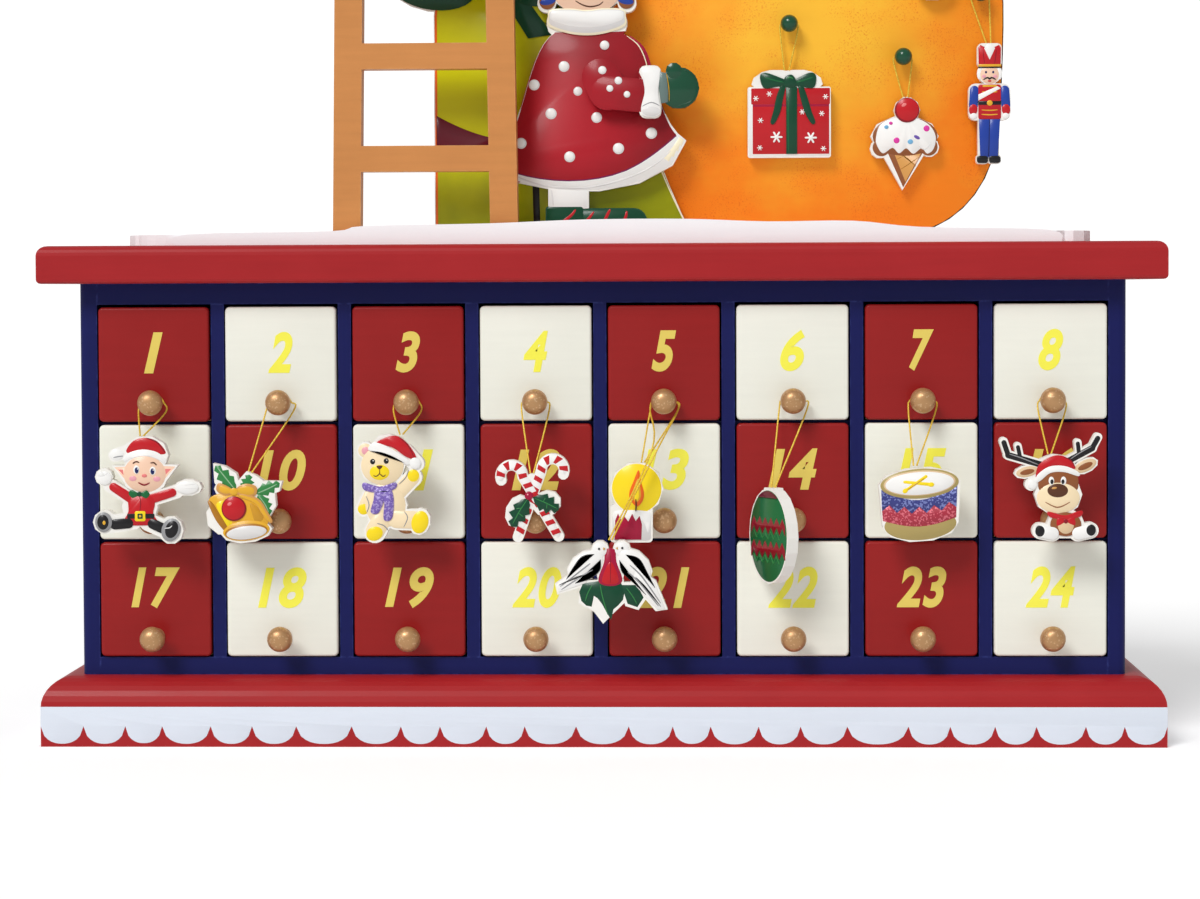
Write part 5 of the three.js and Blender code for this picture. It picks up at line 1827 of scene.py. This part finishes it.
def make_lime_sack():
    """The left sack: a tied bag in yellow-green with a dark green bow."""
    body = bezier_outline(
        (-61.4, 0), (32.6, 0), (22, 22, 14, 44, 9, 72), (6, 86, -22, 86, -30, 94), (-52, 94),
        (-56, 90, -61, 88, -61.4, 80),
    )
    mouth = bezier_outline(
        (-52, 93), (-30, 93), (-26, 102, -22, 108, -16, 114), (-24, 112, -26, 120, -34, 116),
        (-40, 121, -46, 114, -51, 118), (-56, 113, -60, 116, -66, 113), (-60, 108, -55, 101, -52, 93),
    )
    regions = [
        ("orange", drawn_in(body, 0.35)),
        ("lime", moved(drawn_in(body, 0.7), 0.5, 0)),
        ("maroon", bezier_outline(
            (-60.6, 43.6), (-54, 40, -47, 36.6, -38, 35), (-38, 27.6), (-60.6, 27.6),
        )),
        ("black", [(-42.3, 84), (-40, 84), (-38.6, 35), (-41, 35)]),
        ("black", [(-25.5, 19), (-23, 19), (-22.6, 0.5), (-25, 0.5)]),
        ("olive", stroke(0.8, (-34, 88), (-26, 80), (-18, 76))),
        ("cream", stroke(0.5, (31.8, 0.8), (22.6, 21), (15, 42), (10.4, 62))),
        ("lime", drawn_in(mouth)),
        *marks(
            "olive", stroke, (0.8, (-47, 96), (-50, 104), (-55, 112)),
            (0.8, (-41, 96), (-41, 106), (-42, 114)), (0.8, (-35, 96), (-31, 104), (-26, 111)),
        ),
        ("dark_green", drawn_in([(-40, 92), (-31, 92), (-17, 72.6), (-27, 71)], 0.5)),
        *marks("dark_green", oval, (-62, 91.4, 16.5, 9.1, -10), (-20, 92, 14.5, 8.5, 12)),
        *marks(
            "green", stroke, (0.8, (-74, 93.6), (-64, 93), (-52, 91.4)),
            (0.8, (-10, 95), (-20, 93.4), (-32, 91.4)),
        ),
        ("green", oval(-41, 91.8, 4.4, 4)),
    ]
    core_piece("sack_lime_core", "sack_lime", "case")
    place = standing_place(0, box_mm("sack_lime")[0].y)
    print_piece("sack_lime_print", regions, "case", place)


def trimmed(mesh, point, away):
    """Cuts off what lies beyond a plane, in metres, and closes the cut."""
    bm = bmesh.new()
    bm.from_mesh(mesh)
    parts = bm.verts[:] + bm.edges[:] + bm.faces[:]
    cut = bmesh.ops.bisect_plane(bm, geom=parts, plane_co=point, plane_no=away, clear_outer=True)
    edges = [part for part in cut["geom_cut"] if isinstance(part, bmesh.types.BMEdge)]
    bmesh.ops.holes_fill(bm, edges=edges, sides=0)
    bmesh.ops.recalc_face_normals(bm, faces=bm.faces)
    bm.to_mesh(mesh)
    bm.free()


def make_orange_sack():
    """The right sack: a tied bag in washed amber, with four green pegs."""
    front = box_mm("sack_orange")[1].y - SACK_THICKNESS
    body = bezier_outline(
        (12, 0), (116, 0), (132, 4, 145, 18, 146, 44), (147, 74, 149, 96, 142, 112),
        (134, 128, 106, 128, 96, 140), (54, 140), (44, 128, 10, 126, 3, 108), (-4, 84, -6, 30, 12, 0),
    )
    mouth = bezier_outline(
        (54, 139), (96, 139), (100, 150, 108, 158, 116, 164), (104, 162, 100, 171, 91, 166),
        (84, 173, 76, 164, 68, 170), (60, 163, 50, 170, 34, 163), (44, 157, 50, 150, 54, 139),
    )
    folds = (
        ((60, 136), (50, 122), (34, 112)), ((68, 136), (64, 120), (60, 108)),
        ((82, 136), (88, 120), (92, 108)), ((90, 136), (104, 122), (120, 112)),
        ((62, 146), (56, 154), (48, 161)), ((75, 146), (75, 156), (72, 164)),
        ((88, 146), (94, 154), (102, 160)),
    )
    regions = [("wash", drawn_in(body)), ("wash", drawn_in(mouth))]
    regions += [("orange", stroke(0.9, *fold)) for fold in folds]
    regions += [
        *marks("red", oval, (56, 143, 12.6, 7, 20), (94, 143, 12.6, 7, -20)),
        *marks(
            "dark_red", stroke, (0.9, (47, 141), (56, 142.6), (66, 141)),
            (0.9, (103, 141), (94, 142.6), (84, 141)),
        ),
        ("red", oval(75, 139.5, 23, 4)),
        ("dark_red", stroke(0.6, (56, 137.4), (75, 136.6), (94, 137.4))),
    ]
    core = core_piece("sack_orange_core", "sack_orange", "case", flat=False)
    trimmed(core.data, (0, (front + PRINT_DEPTH) * MM, 0), (0, -1, 0))
    print_piece("sack_orange_print", regions, "case", standing_place(0, front))
    middle = PEG_NECK_LENGTH + PEG_BALL_RADIUS * PEG_BALL_SINK
    profile = [(PEG_NECK_RADIUS, -PEG_SINK), (PEG_NECK_RADIUS, PEG_NECK_LENGTH - PEG_NECK_OVERLAP)]
    for step in range(PEG_BALL_STEPS + 1):
        angle = math.pi * (PEG_BALL_START + (1 - PEG_BALL_START) * step / PEG_BALL_STEPS)
        radius = 0 if step == PEG_BALL_STEPS else PEG_BALL_RADIUS * math.sin(angle)
        profile.append((radius, middle - PEG_BALL_RADIUS * math.cos(angle)))
    for name, (x, z) in PEGS.items():
        bm = bmesh.new()
        lathe(bm, profile, x, front, snow_top() + z, steps=28)
        peg = finished(f"peg_{name}", bm, [mitten_green()], "case", 60)
        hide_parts("sack_orange")


# Ornaments on the pegs, drawn about the peg that carries each
def make_pegged(name, tie, regions):
    """One pegged ornament: its core, its print and its loop of thread."""
    node = "ornament_" + name
    x, z = PEGS[name]
    front = box_mm("sack_orange")[1].y - SACK_THICKNESS
    plate = front - PEG_GAP - PEG_PLATE
    place = Matrix.Translation(Vector((x, plate + PEG_PRINT_DEPTH, snow_top() + z)) * MM)
    core = core_piece("pegged_" + name, node, name, flat=False)
    trimmed(core.data, (0, 0, (snow_top() + z + tie[1] + TIE_TRIM) * MM), (0, 0, 1))
    for vert in core.data.vertices:
        if vert.co.y < (plate + PEG_FRONT_BAND) * MM:
            vert.co.y = (plate + PEG_PRINT_DEPTH) * MM
    print_piece(f"pegged_{name}_print", regions, name, place, PEG_PRINT_DEPTH)
    end = (tie[0], PEG_GAP + PEG_TIE_DEPTH, tie[1] - TIE_SINK)
    points = loop_points(PEG_NECK_RADIUS, PEG_BALL_RADIUS * PEG_LOOP_SHARE, PEG_GAP + THREAD_STEP, end)
    placed = [(x + across, front - out, snow_top() + z + up) for across, out, up in points]
    route = smooth_route(placed, THREAD_STEPS)
    diameter = sizes().thread_diameter
    thread = tube(f"peg_thread_{name}", route, diameter / MM, thread_material())
    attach(thread, name)
    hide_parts(node)


def make_gift():
    """A red box with snow stars, a dark green ribbon and a bow."""
    small = (
        (-12.2, -27.2), (-7.3, -25.6), (13.2, -26.7), (4.7, -32.2), (11.8, -32.8), (-10.5, -35.2),
        (-10.8, -45.2), (12.4, -45.6),
    )
    regions = [
        ("white", box_outline(-14.8, -48.4, 14.8, -23.3, 0.6)),
        ("red", box_outline(-13.4, -47.5, 14.5, -28, 0.3)),
        ("crimson", box_outline(-13.4, -30.2, 14.5, -29.2)),
        ("red", box_outline(-13.9, -29.4, 14.8, -23.5, 0.3)),
    ]
    for x, z in small:
        regions += star(x, z, 0.9)
    for x, z in ((-4.7, -41.3), (7.8, -41.6)):
        regions += star(x, z, 1.9)
    regions += [
        ("dark_green", box_outline(-1.2, -47.5, 2.8, -23)),
        ("green", stroke(0.5, (-0.4, -24), (-0.5, -35), (-0.4, -47))),
        *marks(
            "dark_green", stroke, (2.6, (-2, -22), (-3.4, -26.6), (-4.6, -32), (-6.4, -36.6)),
            (2.6, (3.8, -22), (5.2, -26.6), (6.8, -32), (9, -36.6)),
        ),
        *marks(
            "dark_green", blob,
            (
                (-1.2, -20.8), (-4, -19.4), (-8.6, -17.9), (-10.6, -18.8), (-10.2, -22), (-8.6, -23.6),
                (-4.6, -23), (-1.2, -22.4),
            ),
            (
                (1.8, -20.8), (4, -19.4), (7.6, -17.9), (9.6, -18.8), (9.6, -22), (8.2, -23.6),
                (4.6, -23), (1.8, -22.4),
            ),
        ),
        *marks(
            "green", stroke, (0.6, (-9, -19.6), (-5.6, -20.6), (-2, -21.4)),
            (0.6, (8.6, -19.6), (5.6, -20.6), (2.6, -21.4)),
        ),
        ("dark_green", blob(
            (-1.6, -19.6), (0.6, -18.6), (2.2, -20), (2.6, -22.6), (0.6, -23.4), (-1.8, -22.8),
        )),
        ("leaf", stroke(0.5, (-0.9, -20), (0.4, -19.6), (1.4, -20.2))),
    ]
    make_pegged("gift", (-1, -17), regions)


def make_ice_cream():
    """A cone with a white scoop, sprinkles and a red cherry."""
    sprinkles = (
        ("magenta", 8.4, -26.2, 1.15, 1.15), ("magenta", -2.5, -30.5, 1.1, 1.1),
        ("purple", 4.9, -29.4, 1.2, 0.6), ("sky", 2.5, -31, 1, 0.9), ("sky", -6.2, -25.6, 0.8, 0.7),
        ("magenta", -4.6, -24.2, 0.7, 0.6),
    )
    regions = [
        ("brown", [(-6.4, -33.4), (-0.1, -47.6), (8.2, -33)]),
        ("tan", [(-3.6, -34.6), (0.7, -45.6), (7, -34)]),
        *marks(
            "dark_gold", stroke, (0.3, (-2.4, -37.4), (1.4, -35.4), (4.6, -34)),
            (0.3, (-1, -41), (2.4, -38.8), (5.6, -36.6)), (0.3, (4.6, -40), (1.6, -37.2), (-1.6, -35)),
        ),
        *marks("brown", oval, (0.6, -29, 11.8, 7.1), (-8, -33, 3.2, 3.2), (9.2, -32.9, 3.2, 3.2)),
        ("white", blob(
            (-10, -29.4), (-8.4, -24.8), (-3.6, -22.4), (3, -22), (9, -24.6), (11.7, -29), (11, -33.6),
            (8.6, -35.4), (6.6, -33.4), (3.6, -35.4), (1, -33.4), (-1.6, -35.2), (-4, -33.2),
            (-7.4, -35.2), (-9.6, -32.4),
        )),
        ("pale", stroke(0.5, (10.2, -31), (8, -33.8), (5.4, -32.6))),
    ]
    for colour, x, z, wide, high in sprinkles:
        regions.append((colour, oval(x, z, wide, high, -30 if colour == "purple" else 0)))
    regions += [
        ("dark_red", oval(1.3, -19.5, 4.5, 4.5)),
        ("red", oval(1.5, -19.3, 4.1, 4.1)),
        ("blush", oval(0.2, -17.6, 1, 0.6, 30)),
    ]
    make_pegged("ice_cream", (1, -14.6), regions)


def make_soldier():
    """A toy soldier with a plumed red hat, a sash over a red coat, and blue trousers."""
    regions = [
        *marks("white", oval, (-0.4, -29.4, 1, 2.2), (6.8, -29.4, 1, 2.2)),
        ("skin", oval(3.2, -29.8, 3.4, 3.4)),
        *marks("pink", oval, (1.2, -30.4, 0.8, 0.6), (5.2, -30.4, 0.8, 0.6)),
        *marks("navy", oval, (1.9, -28.9, 0.4, 0.5, 0, 10), (4.5, -28.9, 0.4, 0.5, 0, 10)),
        ("black", stroke(0.7, (0.9, -31.6), (2.4, -30.9), (3.2, -31.3), (4, -30.9), (5.5, -31.6))),
        ("red", oval(3.2, -32.1, 0.7, 0.35, steps=12)),
        ("red", [
            (-0.8, -26.8), (7.2, -26.8), (7.3, -20), (6.6, -19), (3.2, -20.6), (-0.2, -19), (-0.9, -20),
        ]),
        *marks(
            "dark_red", stroke, (0.4, (1.4, -26), (1, -23), (0.8, -20.6)),
            (0.4, (5, -26), (5.4, -23), (5.6, -20.6)),
        ),
        ("white", [(3.2, -24.4), (1.2, -20.2), (2.4, -18.8), (4, -18.8), (5.2, -20.2)]),
        ("gold", box_outline(-0.9, -26.9, 7.3, -26)),
        ("black", box_outline(-0.9, -27.4, 7.3, -26.9)),
        *marks("blue", limb, (-2.3, -35.4, -2.7, -41, 1.6), (8.7, -35.4, 9.1, -41, 1.6)),
        *marks("red", limb, (-2.7, -42, -2.8, -42.8, 1.5), (9.1, -42, 9.2, -42.8, 1.5)),
        *marks("white", oval, (-2.6, -44.8, 1.2, 1.1), (9, -44.8, 1.2, 1.1)),
        ("red", box_outline(-0.9, -46, 7.3, -33.4, 0.8)),
        ("gold", box_outline(0.6, -34.3, 5.8, -33.5)),
        *marks(
            "gold", stroke, (0.5, (0.2, -42.6), (3.2, -42.8), (6.2, -42.6)),
            (0.5, (0.2, -44.2), (3.2, -44.4), (6.2, -44.2)), (0.5, (0.4, -36), (3.2, -36.2), (6, -36)),
        ),
        ("white", [(-0.9, -39.2), (-0.9, -37), (6, -34), (7.2, -34.8)]),
        ("black", box_outline(-0.9, -40.8, 7.3, -39.4)),
        ("gold", oval(3.2, -40.1, 1.1, 1)),
        ("blue", [(-0.7, -46), (3.1, -46), (2.7, -60), (-0.2, -60)]),
        ("blue", [(3.3, -46), (7, -46), (6.2, -60), (3, -60)]),
        ("navy", stroke(0.4, (3.2, -46), (3, -53), (2.9, -59.6))),
        *marks("black", box_outline, (-1.4, -61.9, 2.6, -59.3, 0.9), (3, -61.9, 7.1, -59.3, 0.9)),
    ]
    make_pegged("soldier", (3.4, -18.4), regions)


def make_snowman():
    """A snowman with a black hat, a red scarf and two buttons."""
    regions = [
        ("white", oval(0, -30.4, 6.8, 6.8)),
        ("pale", stroke(0.7, (-5.6, -32.6), (-2.6, -36), (2.6, -36), (5.6, -32.6))),
        ("white", oval(0, -20.4, 4.5, 4.5)),
        ("black", box_outline(-3.2, -16.4, 3.2, -11, 0.6)),
        ("red", box_outline(-3.2, -16.2, 3.2, -14.8)),
        ("black", oval(0, -16.8, 5, 1.1)),
        *marks(
            "red", stroke, (1.8, (-4, -24), (0, -25), (4, -24)),
            (1.7, (2, -24.4), (3, -27.4), (2.6, -30.6)),
        ),
        *marks("black", oval, (-1.6, -19.6, 0.5, 0.6, 0, 12), (1.6, -19.6, 0.5, 0.6, 0, 12)),
        ("orange", [(-0.2, -20.6), (-0.1, -21.6), (3, -21.6)]),
        ("dark_brown", stroke(0.35, (-1.8, -22.4), (0, -23.2), (1.8, -22.4))),
        *marks("black", oval, (-0.4, -28.6, 0.6, 0.6, 0, 12), (-0.4, -32, 0.6, 0.6, 0, 12)),
    ]
    make_pegged("snowman", (0, -10.6), regions)


PEG_MAKERS = (make_gift, make_ice_cream, make_soldier, make_snowman)


class CALENDAR_OT_camera(bpy.types.Operator):
    """Place the camera at the photograph's viewpoint"""

    bl_idname = "calendar.camera"
    bl_label = "Camera"

    def execute(self, context):
        make_camera()
        return {"FINISHED"}


class CALENDAR_OT_threads(bpy.types.Operator):
    """Lay the gold hanging threads round the knobs"""

    bl_idname = "calendar.threads"
    bl_label = "Hanging Threads"

    def execute(self, context):
        make_threads()
        return {"FINISHED"}


class CALENDAR_OT_boards(bpy.types.Operator):
    """Paint the base board, its scalloped border and the top board"""

    bl_idname = "calendar.boards"
    bl_label = "Boards"

    def execute(self, context):
        make_base_board()
        make_top_board()
        return {"FINISHED"}


class CALENDAR_OT_case(bpy.types.Operator):
    """Paint the case, its back and its dividers"""

    bl_idname = "calendar.case"
    bl_label = "Case"

    def execute(self, context):
        make_case()
        return {"FINISHED"}


class CALENDAR_OT_drawers(bpy.types.Operator):
    """Build the numbered drawers with their boxes and knobs"""

    bl_idname = "calendar.drawers"
    bl_label = "Drawers"

    def execute(self, context):
        make_drawers()
        return {"FINISHED"}


class CALENDAR_OT_snow(bpy.types.Operator):
    """Paint the snow plate and its strip"""

    bl_idname = "calendar.snow"
    bl_label = "Snow"

    def execute(self, context):
        make_snow()
        return {"FINISHED"}


class CALENDAR_OT_ladder(bpy.types.Operator):
    """Paint the ladder"""

    bl_idname = "calendar.ladder"
    bl_label = "Ladder"

    def execute(self, context):
        make_ladder()
        return {"FINISHED"}


class CALENDAR_OT_figure(bpy.types.Operator):
    """Build the standing figure and its arm"""

    bl_idname = "calendar.figure"
    bl_label = "Figure"

    def execute(self, context):
        make_figure()
        return {"FINISHED"}


class CALENDAR_OT_lime_sack(bpy.types.Operator):
    """Build the lime sack with its bow"""

    bl_idname = "calendar.lime_sack"
    bl_label = "Lime Sack"

    def execute(self, context):
        make_lime_sack()
        return {"FINISHED"}


class CALENDAR_OT_orange_sack(bpy.types.Operator):
    """Build the orange sack with its tie and pegs"""

    bl_idname = "calendar.orange_sack"
    bl_label = "Orange Sack"

    def execute(self, context):
        make_orange_sack()
        return {"FINISHED"}


class CALENDAR_OT_hung_ornaments(bpy.types.Operator):
    """Build the ornaments that hang from the drawer knobs"""

    bl_idname = "calendar.hung_ornaments"
    bl_label = "Hung Ornaments"

    def execute(self, context):
        for make in HUNG_MAKERS:
            make()
        return {"FINISHED"}


class CALENDAR_OT_peg_ornaments(bpy.types.Operator):
    """Build the ornaments that hang from the sack's pegs"""

    bl_idname = "calendar.peg_ornaments"
    bl_label = "Peg Ornaments"

    def execute(self, context):
        for make in PEG_MAKERS:
            make()
        return {"FINISHED"}


class CALENDAR_OT_stage(bpy.types.Operator):
    """Lay the floor and set the lamps and the white surround"""

    bl_idname = "calendar.stage"
    bl_label = "Stage"

    def execute(self, context):
        make_stage()
        return {"FINISHED"}


STEPS = (
    CALENDAR_OT_camera,
    CALENDAR_OT_threads,
    CALENDAR_OT_boards,
    CALENDAR_OT_case,
    CALENDAR_OT_drawers,
    CALENDAR_OT_snow,
    CALENDAR_OT_ladder,
    CALENDAR_OT_figure,
    CALENDAR_OT_lime_sack,
    CALENDAR_OT_orange_sack,
    CALENDAR_OT_hung_ornaments,
    CALENDAR_OT_peg_ornaments,
    CALENDAR_OT_stage,
)


class CALENDAR_PT_sidebar(bpy.types.Panel):
    """Sizes, colours and the steps that dress the calendar"""

    bl_idname = "CALENDAR_PT_sidebar"
    bl_label = "Advent Calendar"
    bl_space_type = "VIEW_3D"
    bl_region_type = "UI"
    bl_category = "Calendar"

    def draw(self, context):
        layout = self.layout
        for group in (context.scene.calendar_sizes, context.scene.calendar_colours):
            column = layout.column(align=True)
            for key in group.bl_rna.properties.keys():
                if key not in ("rna_type", "name"):
                    column.prop(group, key)
        column = layout.column(align=True)
        for step in STEPS:
            column.operator(step.bl_idname)


CLASSES = (CalendarSizes, CalendarColours, *STEPS, CALENDAR_PT_sidebar)


def register():
    for each in CLASSES:
        bpy.utils.register_class(each)
    bpy.types.Scene.calendar_sizes = PointerProperty(type=CalendarSizes)
    bpy.types.Scene.calendar_colours = PointerProperty(type=CalendarColours)


def unregister():
    del bpy.types.Scene.calendar_colours
    del bpy.types.Scene.calendar_sizes
    for each in reversed(CLASSES):
        bpy.utils.unregister_class(each)


def main():
    register()
    for step in STEPS:
        group, action = step.bl_idname.split(".")
        getattr(getattr(bpy.ops, group), action)()


if __name__ == "__main__":
    main()
